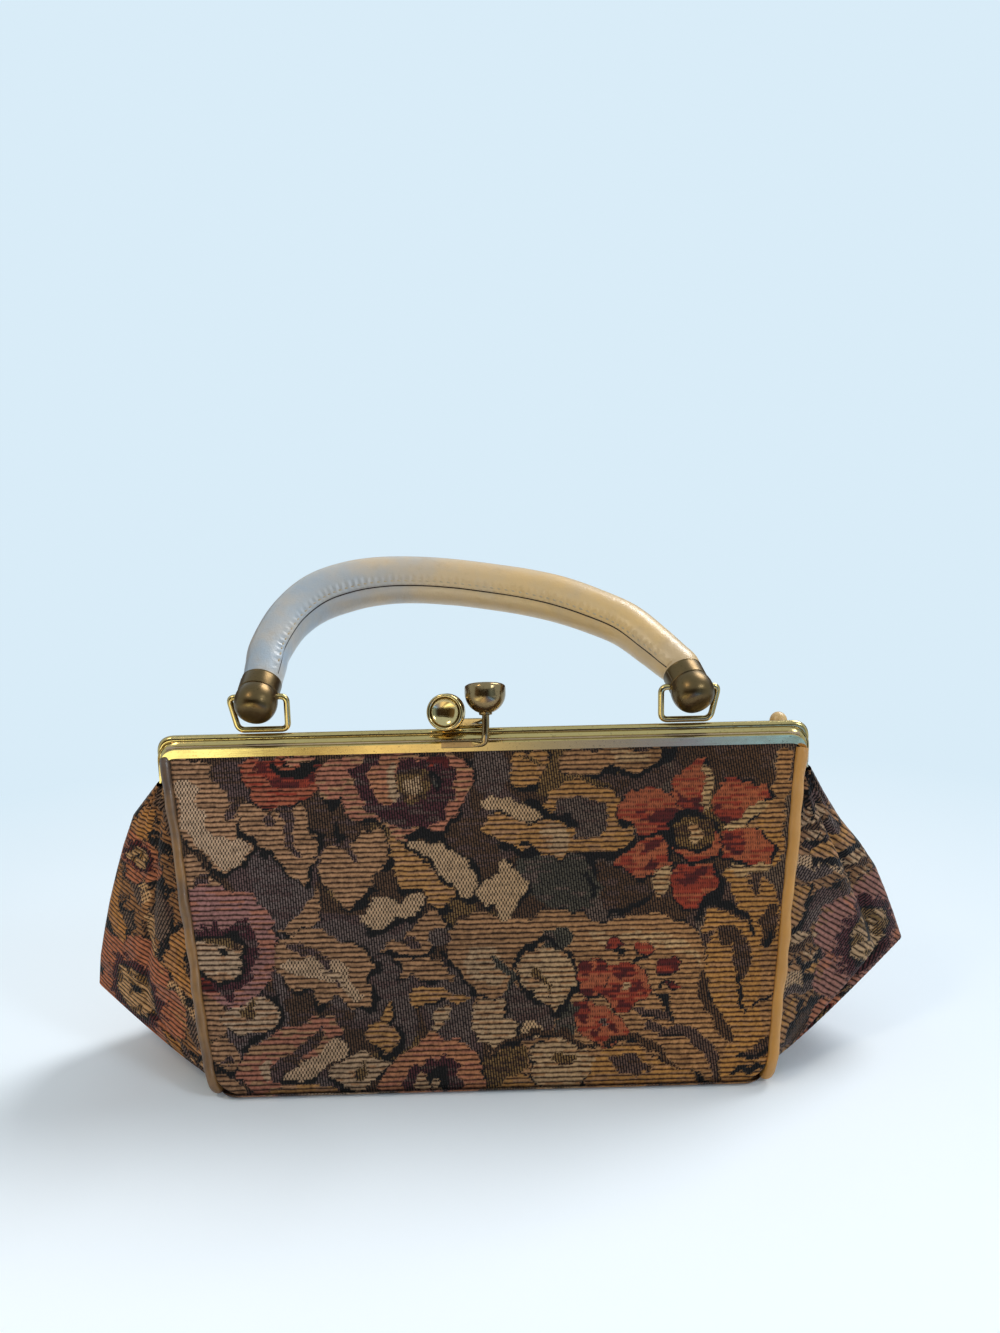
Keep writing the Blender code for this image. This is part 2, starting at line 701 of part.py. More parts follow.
def cup(name, radius, centre, tilt, turn):
    """A clasp cup: round below, lipped and dished above."""
    top = CUP_DEPTH / 2
    shoulder = top - (CUP_DEPTH - radius)
    quarter = [i * pi / 2 / ARC_STEPS for i in range(ARC_STEPS + 1)]
    dish = [((radius - CUP_LIP) * sin(a), top - DISH_DEPTH * cos(a)) for a in quarter]
    bowl = [(radius * cos(a), shoulder - (shoulder + top) * sin(a)) for a in quarter[:-1]]
    profile = dish + [(radius - CUP_LIP / 3, top), (radius, top - CUP_LIP / 2)] + bowl + [(0, -top)]
    made = turned(name, profile, GOLD)
    made.location = centre
    made.rotation_euler = (tilt, 0, turn)
    return made


def clasp():
    """Kiss-lock: the front cup stands on a strip, the back cup leans over from its bracket."""
    front_x = CLASP_OFFSET + CLASP_SPREAD / 2
    back_x = CLASP_OFFSET - CLASP_SPREAD / 2
    front = Vector((front_x, -FRONT_CUP_DEPTH, RAIL_TOP + CLASP_FRONT_HEIGHT))
    back = Vector((back_x, -BACK_CUP_DEPTH, RAIL_TOP + CLASP_BACK_HEIGHT))
    face_y = -(FIT / 2 + RAIL_DEPTH + FIT + CLASP_PLATE_THICKNESS / 2)
    strip_z = RAIL_TOP - FRONT_STRIP_WIDTH / 2 - FIT
    strip = box(
        "clasp_front_strip",
        (front_x - FRONT_STRIP_LENGTH, face_y - CLASP_PLATE_THICKNESS / 2, strip_z - FRONT_STRIP_WIDTH / 2),
        (front_x + POST_RADIUS, face_y + CLASP_PLATE_THICKNESS / 2, strip_z + FRONT_STRIP_WIDTH / 2),
        GOLD,
    )
    soften(strip, CLASP_PLATE_THICKNESS / 4)
    axis = Matrix.Rotation(FRONT_CUP_TILT, 3, "X") @ Vector((0, 0, 1))
    post_end = front - axis * (CUP_DEPTH / 2 - POST_SOCKET + FIT)
    post_y = -(FIT / 2 + RAIL_DEPTH + FIT + POST_RADIUS)
    post_x = front_x - POST_RADIUS
    path = rounded_path(
        [
            (post_x, post_y, strip_z),
            (post_x, post_y, RAIL_TOP + POST_RADIUS),
            post_end - axis * POST_SOCKET * 2,
            post_end,
        ],
        RAIL_CORNER_RADIUS,
    )
    join_or_cut(strip, evaluated(tube("front_post", path, POST_RADIUS, None)), "UNION")
    front_cup = cup("clasp_front_cup", FRONT_CUP_RADIUS, front, FRONT_CUP_TILT, 0)
    socket(front_cup, "front_socket", front, axis)

    plate_y = BEAD_Y + BEAD_RADIUS + FIT + CLASP_PLATE_THICKNESS / 2
    plate_z = RAIL_TOP + FIT
    middle = (front_x + back_x) / 2
    plate = box(
        "clasp_back_bracket",
        (middle - BACK_PLATE_LENGTH / 2, plate_y - CLASP_PLATE_THICKNESS / 2, plate_z),
        (middle + BACK_PLATE_LENGTH / 2, plate_y + CLASP_PLATE_THICKNESS / 2, plate_z + BACK_PLATE_HEIGHT),
        GOLD,
    )
    soften(plate, CLASP_PLATE_THICKNESS / 4)
    axis = Matrix.Rotation(BACK_CUP_TURN, 3, "Z") @ Matrix.Rotation(BACK_CUP_TILT, 3, "X") @ Vector((0, 0, 1))
    post_end = back - axis * (CUP_DEPTH / 2 - POST_SOCKET + FIT)
    foot = Vector((middle - BACK_PLATE_LENGTH / 4, plate_y + POST_RADIUS, plate_z + POST_RADIUS))
    path = rounded_path(
        [foot, (foot.x, foot.y, back.z - 2 * POST_RADIUS), post_end - axis * POST_SOCKET * 2, post_end],
        RAIL_CORNER_RADIUS,
    )
    join_or_cut(plate, evaluated(tube("back_post", path, POST_RADIUS, None)), "UNION")
    back_cup = cup("clasp_back_cup", BACK_CUP_RADIUS, back, BACK_CUP_TILT, BACK_CUP_TURN)
    socket(back_cup, "back_socket", back, axis)


def socket(cup_object, name, centre, axis):
    """Bores the cup's round end for its post."""
    shape = bmesh.new()
    radius = POST_RADIUS + FIT
    depth = POST_SOCKET + CUTTER_OVERRUN
    bmesh.ops.create_cone(
        shape, cap_ends=True, segments=TURN_STEPS // 2, radius1=radius, radius2=radius, depth=depth
    )
    place = centre - axis * (CUP_DEPTH / 2 - POST_SOCKET + depth / 2)
    turn = axis.to_track_quat("Z", "Y").to_matrix().to_4x4()
    bmesh.ops.transform(shape, matrix=Matrix.Translation(place) @ turn, verts=shape.verts)
    join_or_cut(cup_object, mesh_object(name, shape, None), "DIFFERENCE")


def loop_x(end):
    return LOOP_OFFSET + end * LOOP_SPAN / 2


def loops():
    """Wire loops brazed to the bead. Their ends turn in and carry the handle's caps.

    The side towards the middle stands upright, and the other one slants outwards.
    """
    for end, word in ((LEFT, "left"), (RIGHT, "right")):
        top = LOOP_TOP_WIDTH / 2
        slant = LOOP_BAR_WIDTH - top
        tip = top - LOOP_WIRE_RADIUS - LOOP_END_REACH
        across = [(-tip, 0), (-top, 0), (-top, -LOOP_HEIGHT), (slant, -LOOP_HEIGHT), (top, 0), (tip, 0)]
        corners = [(loop_x(end) + end * a, BEAD_Y, PIVOT_HEIGHT + b) for a, b in across]
        tube(f"handle_loop_{word}", rounded_path(corners, LOOP_CORNER_RADIUS, 4), LOOP_WIRE_RADIUS, BRASS)


def handle_point(across, up):
    """A point in the handle's plane, which leans back about the loops' ends."""
    return Vector((
        LOOP_OFFSET + across,
        BEAD_Y + up * sin(HANDLE_LEAN),
        PIVOT_HEIGHT + up * cos(HANDLE_LEAN),
    ))


def handle():
    half = LOOP_SPAN / 2
    places = [
        handle_point(a * half, u * HANDLE_RISE) for a, u in zip(HANDLE_ACROSS_SHARES, HANDLE_UP_SHARES)
    ]
    path = smooth_path(places, HANDLE_STEPS)
    along = [0.0]
    for a, b in zip(path, path[1:]):
        along.append(along[-1] + (b - a).length)
    kept = [i for i, s in enumerate(along) if HANDLE_START < s < along[-1] - HANDLE_START]
    points = [path[i] for i in kept]
    held = HANDLE_START + CAP_ABOVE
    radii = []
    for i in kept:
        t = min(1, max(0, (along[i] - held) / (along[-1] - 2 * held)))
        radii.append(HANDLE_END_RADIUS_SHARE + (1 - HANDLE_END_RADIUS_SHARE) * sin(pi * t) ** 0.7)
    core = HANDLE_RADIUS * HANDLE_CORE_SHARE
    leather = evaluated(tube("handle_grip", points, HANDLE_RADIUS, LEATHER, radii, 3))
    ahead, behind = (points[0] - points[1]).normalized(), (points[-1] - points[-2]).normalized()
    bore_path = [points[0] + ahead * CUTTER_OVERRUN, *points, points[-1] + behind * CUTTER_OVERRUN]
    bore = evaluated(tube("grip_bore", bore_path, core + FIT, None, resolution=2))
    join_or_cut(leather, bore, "DIFFERENCE")
    tube("handle_core", points, core, CARD)
    for end, word, at, way in ((LEFT, "left", 0, ahead), (RIGHT, "right", -1, behind)):
        cap(end, word, points[at], way)


def cap(end, word, grip_end, way):
    """A turned ferrule with a domed end. Its cross bore runs on the loop's wire ends."""
    pivot = Vector((loop_x(end), BEAD_Y, PIVOT_HEIGHT))
    axis = (grip_end - pivot).normalized()
    reach = (grip_end - pivot).length
    floor = reach - FIT
    top = floor + CAP_ABOVE
    bore = CAP_BORE_RADIUS
    outer = bore + CAP_WALL
    lip = CAP_RIM
    dome = arc((0, -CAP_DROP), outer, 0, -pi / 2)
    profile = [(0, floor), (bore, floor), (bore, top)]
    profile += [(outer + lip, top), (outer + lip, top - CAP_RIM_HEIGHT), (outer, top - CAP_RIM_HEIGHT - lip)]
    profile += [(x if i < len(dome) - 1 else 0, z) for i, (x, z) in enumerate(dome)]
    made = turned(f"handle_cap_{word}", profile, ANTIQUE)
    made.matrix_world = Matrix.Translation(pivot) @ axis.to_track_quat("Z", "Y").to_matrix().to_4x4()
    reach = outer + CUTTER_OVERRUN
    bar = cylinder_x(
        f"cross_bore_{word}", (pivot.x - reach, pivot.y, pivot.z), pivot.x + reach, LOOP_WIRE_RADIUS + FIT
    )
    join_or_cut(made, bar, "DIFFERENCE")


def joint_axes():
    """Empties on the lines that the moving groups turn about, with their pieces parented to them."""
    places = {
        "axis_front_panel": (0, -FOLD_Y, FOLD_HEIGHT),
        "axis_front_frame": (0, -SEAT_Y, SEAT_HEIGHT),
        "axis_back_panel": (0, FOLD_Y, FOLD_HEIGHT),
        "axis_back_frame": (0, SEAT_Y, SEAT_HEIGHT),
        "axis_handle": (0, BEAD_Y, PIVOT_HEIGHT),
    }
    riders = {
        "axis_front_panel": (
            "front_panel", "card_front", "lining_front", "piping_front_left", "piping_front_right",
        ),
        "axis_front_frame": ("front_rail", "cord_front", "clasp_front_strip", "clasp_front_cup"),
        "axis_back_panel": (
            "back_panel", "card_back", "lining_back", "pocket", "piping_back_left", "piping_back_right",
        ),
        "axis_back_frame": (
            "back_rail", "cord_back", "clasp_back_bracket", "clasp_back_cup",
            "handle_loop_left", "handle_loop_right", "hinge_rivet_left", "hinge_rivet_right",
        ),
        "axis_handle": ("handle_grip", "handle_core", "handle_cap_left", "handle_cap_right"),
    }
    bpy.context.view_layer.update()
    for name, place in places.items():
        empty = bpy.data.objects.new(name, None)
        empty.location = place
        PARTS.objects.link(empty)
        for rider in riders[name]:
            obj = bpy.data.objects[rider]
            obj.parent = empty
            obj.matrix_parent_inverse = Matrix.Translation(place).inverted()


clear_scene()
PARTS = collection("Tapestry handbag")
CUTTERS = collection("Cutters")
CUTTERS.hide_render = True
TAPESTRY = material("Tapestry", (0.42, 0.3, 0.18), 0.9)
LEATHER = material("Cream leather", (0.8, 0.7, 0.5), 0.42)
BRASS = material("Frame brass", (0.5, 0.4, 0.2), 0.34, 1)
GOLD = material("Polished brass", (0.62, 0.46, 0.2), 0.2, 1)
ANTIQUE = material("Antique brass", (0.22, 0.17, 0.1), 0.35, 1)
LINING = material("Lining satin", (0.55, 0.45, 0.33), 0.6)
CARD = material("Stiffening card", (0.5, 0.42, 0.32), 0.9)

base()
panel_side("front", FRONT)
panel_side("back", BACK)
gussets()
frame_half("front", FRONT, FRONT_RAIL_LENGTH, FRONT_LEG_X, RIVET_RADIUS + HINGE_PLAY)
bead(frame_half("back", BACK, BACK_RAIL_LENGTH, BACK_LEG_X, RIVET_RADIUS + FIT))
rivets()
clasp()
loops()
handle()
joint_axes()
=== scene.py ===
"""Tapestry handbag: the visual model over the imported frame, with its stage, light and camera."""

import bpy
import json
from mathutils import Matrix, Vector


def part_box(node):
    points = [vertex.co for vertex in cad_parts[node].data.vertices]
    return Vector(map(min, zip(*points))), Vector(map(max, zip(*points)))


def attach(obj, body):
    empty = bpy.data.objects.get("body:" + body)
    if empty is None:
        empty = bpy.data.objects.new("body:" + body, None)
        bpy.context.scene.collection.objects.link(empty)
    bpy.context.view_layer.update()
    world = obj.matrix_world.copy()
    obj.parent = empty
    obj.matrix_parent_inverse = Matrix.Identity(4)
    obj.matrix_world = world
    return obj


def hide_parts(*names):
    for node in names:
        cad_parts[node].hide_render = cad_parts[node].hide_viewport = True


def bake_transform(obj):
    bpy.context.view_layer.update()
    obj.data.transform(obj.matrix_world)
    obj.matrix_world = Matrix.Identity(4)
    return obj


bl_info = {
    "name": "Tapestry handbag",
    "version": (1, 0, 0),
    "blender": (4, 5, 0),
    "location": "View3D > Sidebar > Handbag",
    "description": "Builds a tapestry handbag with a hinged brass frame, and its studio stage",
    "category": "Add Mesh",
}

import json
from math import atan2, cos, pi, radians, sin

import bmesh
import bpy
import numpy as np
from mathutils import Matrix, Vector

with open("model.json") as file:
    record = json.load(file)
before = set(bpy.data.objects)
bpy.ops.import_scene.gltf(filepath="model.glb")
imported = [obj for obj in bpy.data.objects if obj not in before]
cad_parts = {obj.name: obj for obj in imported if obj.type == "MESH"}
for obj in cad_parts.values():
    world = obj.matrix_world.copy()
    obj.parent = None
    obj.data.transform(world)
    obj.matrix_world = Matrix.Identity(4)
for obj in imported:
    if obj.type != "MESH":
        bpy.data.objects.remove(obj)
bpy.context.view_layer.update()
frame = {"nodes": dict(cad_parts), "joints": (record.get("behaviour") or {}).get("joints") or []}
MM = 0.001
LEFT, RIGHT = -1, 1
FRONT, BACK = -1, 1
SIDE_WORD = {FRONT: "front", BACK: "back"}
END_WORD = {LEFT: "left", RIGHT: "right"}

# Lines that the CAD part is built on
JOINTS = {joint["name"]: joint["pos_m"] for joint in frame["joints"]}
FOLD_Y, FOLD_Z = JOINTS["back_panel_tilt"][1:]
SEAT_Y, SEAT_Z = JOINTS["back_frame_turn"][1:]
PIVOT = Vector(JOINTS["handle_swing"])
PANEL_HEIGHT = SEAT_Z - FOLD_Z
PANEL_LEAN = atan2(FOLD_Y - SEAT_Y, PANEL_HEIGHT)
PANEL_HALF_THICK = 1.1 * MM
BASE_HALF = 91.6 * MM
TOP_HALF = 108.2 * MM
RAIL_BOTTOM = SEAT_Z + 1.5 * MM
RAIL_TOP = RAIL_BOTTOM + 4.7 * MM
HINGE_Z = SEAT_Z - 38 * MM
PIPING_RADIUS = 1.75 * MM


# sizes and colours

def colour_property(name, description, value):
    return bpy.props.FloatVectorProperty(
        name=name, description=description, subtype="COLOR", size=3, min=0, max=1, default=value
    )


def number_property(name, description, value, **kind):
    return bpy.props.FloatProperty(name=name, description=description, default=value, **kind)


def length_property(name, description, value, low, high):
    return number_property(name, description, value, min=low, max=high, unit="LENGTH", precision=5)


class BagCloth(bpy.types.PropertyGroup):
    """The woven tapestry."""
    rib: length_property("Rib pitch", "Distance from one weft rib to the next", 1.56 * MM, 0.001, 0.004)
    relief: length_property("Rib relief", "Height of the ribs over the gaps", 0.16 * MM, 0, 0.0005)
    crown: length_property("Crown", "How far the middle of a panel swells", 3.3 * MM, 0, 0.0035)
    lining: colour_property("Lining", "Colour of the satin lining", (0.30, 0.20, 0.11))


class BagLeather(bpy.types.PropertyGroup):
    """The cream leather of the handle and piping."""
    light: colour_property("Leather light", "Cream of the smooth leather", (0.72, 0.475, 0.185))
    # Painted light: the cool window light on the grip's left leg, put into the leather's colour towards the
    # left
    warm: colour_property("Leather shaded", "Cooler, greyer cream of the left leg", (0.36, 0.46, 0.56))
    piping: colour_property("Piping leather", "Ochre cream of the right welts", (0.60, 0.285, 0.06))
    # The welts' colour turns darker and greyer towards the left
    piping_left_tone: colour_property("Piping left tone", "Greyer cream of the left welts", (0.105, 0.066, 0.045))
    thread: colour_property("Thread", "Stitching thread", (0.62, 0.50, 0.32))
    seam_angle: number_property(
        "Seam angle", "Where the lap seam runs round the grip", radians(148), subtype="ANGLE"
    )
    stitch: length_property("Stitch pitch", "Length of one stitch and its gap", 2.8 * MM, 0.0015, 0.006)


class BagMetal(bpy.types.PropertyGroup):
    """The brass of the frame, clasp and caps."""
    frame_colour: colour_property("Frame brass", "Satin brass of the rails", (0.50, 0.37, 0.15))
    clasp_colour: colour_property("Clasp brass", "Polished brass of the clasp", (0.56, 0.42, 0.19))
    cap_colour: colour_property("Cap brass", "Dark antique brass of the caps", (0.125, 0.08, 0.035))


class BagStage(bpy.types.PropertyGroup):
    """Floor, backdrop and light."""
    far: colour_property("Backdrop", "Pale blue of the backdrop", (0.694, 0.840, 0.939))
    near: colour_property("Floor", "Near white of the floor round the bag", (0.847, 0.930, 1.0))
    sun: number_property("Top light", "Strength of the soft light from above", 1.95, subtype="FACTOR")
    sky: number_property("Sky", "Strength of the even light from all round", 0.385, subtype="FACTOR")
    window: number_property("Window", "Power of the cool window light", 2.7, unit="POWER")
    lamp: number_property("Lamp", "Power of the warm lamp", 1.6, unit="POWER")


# meshes

def finish_mesh(name, verts, faces, look, smooth=True):
    data = bpy.data.meshes.new(name)
    data.from_pydata([tuple(v) for v in verts], [], [tuple(f) for f in faces])
    data.materials.append(look)
    if smooth:
        data.shade_smooth()
    obj = bpy.data.objects.new(name, data)
    bpy.context.scene.collection.objects.link(obj)
    return obj


def grid_faces(rows, cols, around=False, start=0):
    index = np.arange(rows * cols).reshape(rows, cols)
    if around:
        index = np.concatenate([index, index[:, :1]], axis=1)
    quads = np.stack([index[:-1, :-1], index[:-1, 1:], index[1:, 1:], index[1:, :-1]], axis=-1)
    return (quads.reshape(-1, 4) + start).tolist()


def sheet(name, points, look, uv=None, colour=None, kind=None, flip=False):
    """A grid of points as a mesh, with its weave coordinates and woven colours."""
    rows, cols = points.shape[:2]
    faces = np.array(grid_faces(rows, cols))
    if flip:
        faces = faces[:, ::-1]
    obj = finish_mesh(name, points.reshape(-1, 3), faces.tolist(), look)
    data = obj.data
    if uv is not None:
        corner = np.empty(len(data.loops), np.int64)
        data.loops.foreach_get("vertex_index", corner)
        layer = data.uv_layers.new(name="cloth")
        layer.data.foreach_set("uv", uv.reshape(-1, 2)[corner].astype(np.float32).ravel())
    if colour is not None:
        layer = data.color_attributes.new("woven_colour", "FLOAT_COLOR", "POINT")
        rgba = np.concatenate([colour.reshape(-1, 3), np.ones((rows * cols, 1))], axis=1)
        layer.data.foreach_set("color", rgba.astype(np.float32).ravel())
    if kind is not None:
        layer = data.attributes.new("woven_kind", "FLOAT", "POINT")
        layer.data.foreach_set("value", kind.astype(np.float32).ravel())
    return obj


def joined(name, pieces, look, angle=radians(40)):
    """One mesh from several (points, faces) pairs, with outward normals."""
    verts, faces = [], []
    for points, part_faces in pieces:
        start = len(verts)
        verts.extend(tuple(p) for p in points)
        faces.extend(tuple(i + start for i in face) for face in part_faces)
    obj = finish_mesh(name, verts, faces, look)
    shape = bmesh.new()
    shape.from_mesh(obj.data)
    bmesh.ops.remove_doubles(shape, verts=shape.verts, dist=1e-7)
    bmesh.ops.recalc_face_normals(shape, faces=shape.faces)
    shape.to_mesh(obj.data)
    shape.free()
    obj.data.shade_smooth()
    obj.data.set_sharp_from_angle(angle=angle)
    return obj


def share_of(value):
    """A value held between 0 and 1."""
    return np.clip(value, 0, 1)


def turns(count):
    """Angles at even steps once round."""
    return np.linspace(0, 2 * pi, count, endpoint=False)


def lathe(profile, matrix, steps=48):
    """A profile of (radius, height) in millimetres, turned about Z and placed by a matrix."""
    rings = [[(r * MM * cos(a), r * MM * sin(a), z * MM) for a in turns(steps)] for r, z in profile]
    points = [matrix @ Vector(p) for ring in rings for p in ring]
    return points, grid_faces(len(profile), steps, around=True)


def lengths_along(line):
    """The length of a line up to each of its points."""
    return np.concatenate([[0], np.cumsum(np.linalg.norm(np.diff(line, axis=0), axis=1))])


def smooth_line(points, count):
    """A smooth curve through points, at even steps of length."""
    points = np.array([tuple(p) for p in points], float)
    ext = np.concatenate([[2 * points[0] - points[1]], points, [2 * points[-1] - points[-2]]])
    fine = []
    for i in range(1, len(ext) - 2):
        a, b, c, d = ext[i - 1], ext[i], ext[i + 1], ext[i + 2]
        t = np.linspace(0, 1, 24, endpoint=False)[:, None]
        bend = (2 * a - 5 * b + 4 * c - d) * t**2 + (3 * b - a - 3 * c + d) * t**3
        fine.append(0.5 * (2 * b + (c - a) * t + bend))
    fine = np.concatenate(fine + [points[-1:]])
    along = lengths_along(fine)
    at = np.linspace(0, along[-1], count)
    return np.stack([np.interp(at, along, fine[:, k]) for k in range(3)], axis=-1)


def round_corners(points, radius, steps=8):
    """A line with each corner rounded to a radius."""
    points = [Vector(p) for p in points]
    out = [points[0]]
    for before, corner, after in zip(points, points[1:], points[2:]):
        a, b = (before - corner).normalized(), (after - corner).normalized()
        reach = min(radius, 0.49 * (before - corner).length, 0.49 * (after - corner).length)
        start, stop = corner + a * reach, corner + b * reach
        for i in range(steps + 1):
            t = i / steps
            out.append(start * (1 - t) ** 2 + corner * 2 * t * (1 - t) + stop * t**2)
    return out + [points[-1]]


def tangents(line):
    step = np.gradient(line, axis=0)
    return step / np.linalg.norm(step, axis=1)[:, None]


def capped(rings):
    """Rings of points as one closed tube, with a flat face at each end."""
    rows, cols = rings.shape[:2]
    faces = grid_faces(rows, cols, around=True)
    faces += [list(range(cols)), list(range((rows - 1) * cols, rows * cols))]
    return [tuple(p) for p in rings.reshape(-1, 3)], faces


def swept(line, sections, up=(0, 1, 0)):
    """Sections of (side, up) offsets swept along a line: one closed ring a point, with closed ends."""
    line = np.asarray([tuple(p) for p in line], float)
    tangent = tangents(line)
    side = np.cross(tangent, np.broadcast_to(np.asarray(up, float), line.shape))
    side /= np.linalg.norm(side, axis=1)[:, None]
    over = np.cross(side, tangent)
    sections = np.asarray(sections, float)
    if sections.ndim == 2:
        sections = np.broadcast_to(sections, (len(line), *sections.shape))
    rings = line[:, None] + side[:, None] * sections[..., :1] + over[:, None] * sections[..., 1:]
    rows, cols = rings.shape[:2]
    faces = grid_faces(rows, cols, around=True)
    points = [tuple(p) for p in rings.reshape(-1, 3)]
    for row in (0, rows - 1):
        points.append(tuple(rings[row].mean(axis=0)))
        centre = len(points) - 1
        faces += [(row * cols + i, row * cols + (i + 1) % cols, centre) for i in range(cols)]
    return points, faces


def tube(line, radius, steps=16, up=(0, 1, 0)):
    """A round tube along a line, of one radius or of one for each point."""
    line = np.asarray([tuple(p) for p in line], float)
    radii = np.broadcast_to(np.asarray(radius, float), (len(line),))
    section = np.array([(cos(a), sin(a)) for a in turns(steps)])
    return swept(line, section[None] * radii[:, None, None], up)


# weaving the picture

def linear(r, g, b):
    """A screen colour from 0 to 255 as linear light."""
    c = np.array([r, g, b]) / 255
    return np.where(c <= 0.04045, c / 12.92, ((c + 0.055) / 1.055) ** 2.4)


TAN, OCHRE, CREAM = linear(146, 115, 86), linear(152, 117, 72), linear(158, 138, 114)
SAND, OLIVE, EARTH = linear(122, 94, 68), linear(104, 84, 52), linear(72, 53, 38)
SLATE, PLUM_GREY, TEAL = linear(90, 80, 80), linear(80, 64, 64), linear(68, 68, 64)
INK, SALMON = linear(14, 8, 6), linear(156, 110, 82)
ROSE, MAUVE, PLUM = linear(146, 98, 80), linear(134, 98, 94), linear(66, 30, 38)
RUST, RED, BLOOD = linear(136, 76, 54), linear(118, 44, 28), linear(66, 14, 12)
# Kinds of weave, as numbers that the weave's node group reads
RIBS, BASKET, GROUND, GRID = 0.0, 1.0, 2.0, 3.0
# The threads of a woven shape: its colour, the colour of odd rows in it, and its weave
THREADS = {
    "tan": (TAN, SAND, RIBS), "ochre": (OCHRE, TAN, RIBS), "cream ground": (CREAM, TAN, GROUND),
    "cream": (CREAM, TAN, RIBS), "pale": (CREAM, CREAM, BASKET), "pale ribs": (CREAM, CREAM, RIBS),
    "rose": (ROSE, TAN, RIBS), "mauve": (MAUVE, ROSE, RIBS), "salmon": (SALMON, ROSE, RIBS),
    "plum": (PLUM, PLUM_GREY, GROUND), "rust ribs": (RUST, RED, RIBS), "rust": (RUST, RED, GRID),
    "red": (RED, RUST, GRID), "blood": (BLOOD, RED, GRID), "blood ribs": (BLOOD, RED, RIBS),
    "slate": (SLATE, PLUM_GREY, GROUND), "grey": (PLUM_GREY, EARTH, GROUND),
    "earth": (EARTH, PLUM_GREY, GROUND), "teal": (TEAL, SLATE, GROUND), "olive": (OLIVE, EARTH, GROUND),
    "ink": (INK, INK, GROUND),
}
# The cloth's tint at the left, in the middle and at the right, as shares of its colour. It is matched
# to the photograph, so part of it is the light there and not the cloth's age.
AGE_AND_LIGHT_AT = (-100, 0, 100)
AGE_AND_LIGHT = ((1.03, 0.93, 0.90), (0.90, 0.77, 0.62), (0.94, 0.73, 0.42))
# The flowers' petals and the share of their hearts, and the lobes down a leaf
PETALS, HEART, LOBES = 5, 0.38, 3


def value_noise(x, y, size, seed):
    """Smooth value noise from 0 to 1 at a feature size."""
    x, y = x / size + 31.7 * seed, y / size + 17.3 * seed
    i, j = np.floor(x), np.floor(y)
    u, v = x - i, y - j
    u, v = u * u * (3 - 2 * u), v * v * (3 - 2 * v)

    def corner(a, b):
        h = np.sin(a * 127.1 + b * 311.7 + seed * 74.7) * 43758.5453
        return h - np.floor(h)

    low = corner(i, j) * (1 - u) + corner(i + 1, j) * u
    high = corner(i, j + 1) * (1 - u) + corner(i + 1, j + 1) * u
    return low * (1 - v) + high * v


def rounded_outline(points):
    """A closed outline, given as x, z, x, z and so on, with its corners cut twice."""
    ring = np.array(points, float).reshape(-1, 2)
    for share in (0.22, 0.25):
        after = np.roll(ring, -1, axis=0)
        cuts = [ring * (1 - share) + after * share, ring * share + after * (1 - share)]
        ring = np.stack(cuts, axis=1).reshape(-1, 2)
    return ring


def nearest(x, z, line):
    """The distance to a line, the way from its nearest point, and how far along the line that point is."""
    best = np.full(x.shape, 1e9)
    away = np.zeros((2, *x.shape))
    share = np.zeros(x.shape)
    for i, (a, b) in enumerate(zip(line, line[1:])):
        step = b - a
        t = share_of(((x - a[0]) * step[0] + (z - a[1]) * step[1]) / (step @ step + 1e-9))
        dx, dz = x - a[0] - t * step[0], z - a[1] - t * step[1]
        far = np.hypot(dx, dz)
        near = far < best
        best[near], share[near] = far[near], (i + t[near]) / (len(line) - 1)
        away[0][near], away[1][near] = dx[near], dz[near]
    return best, away, share


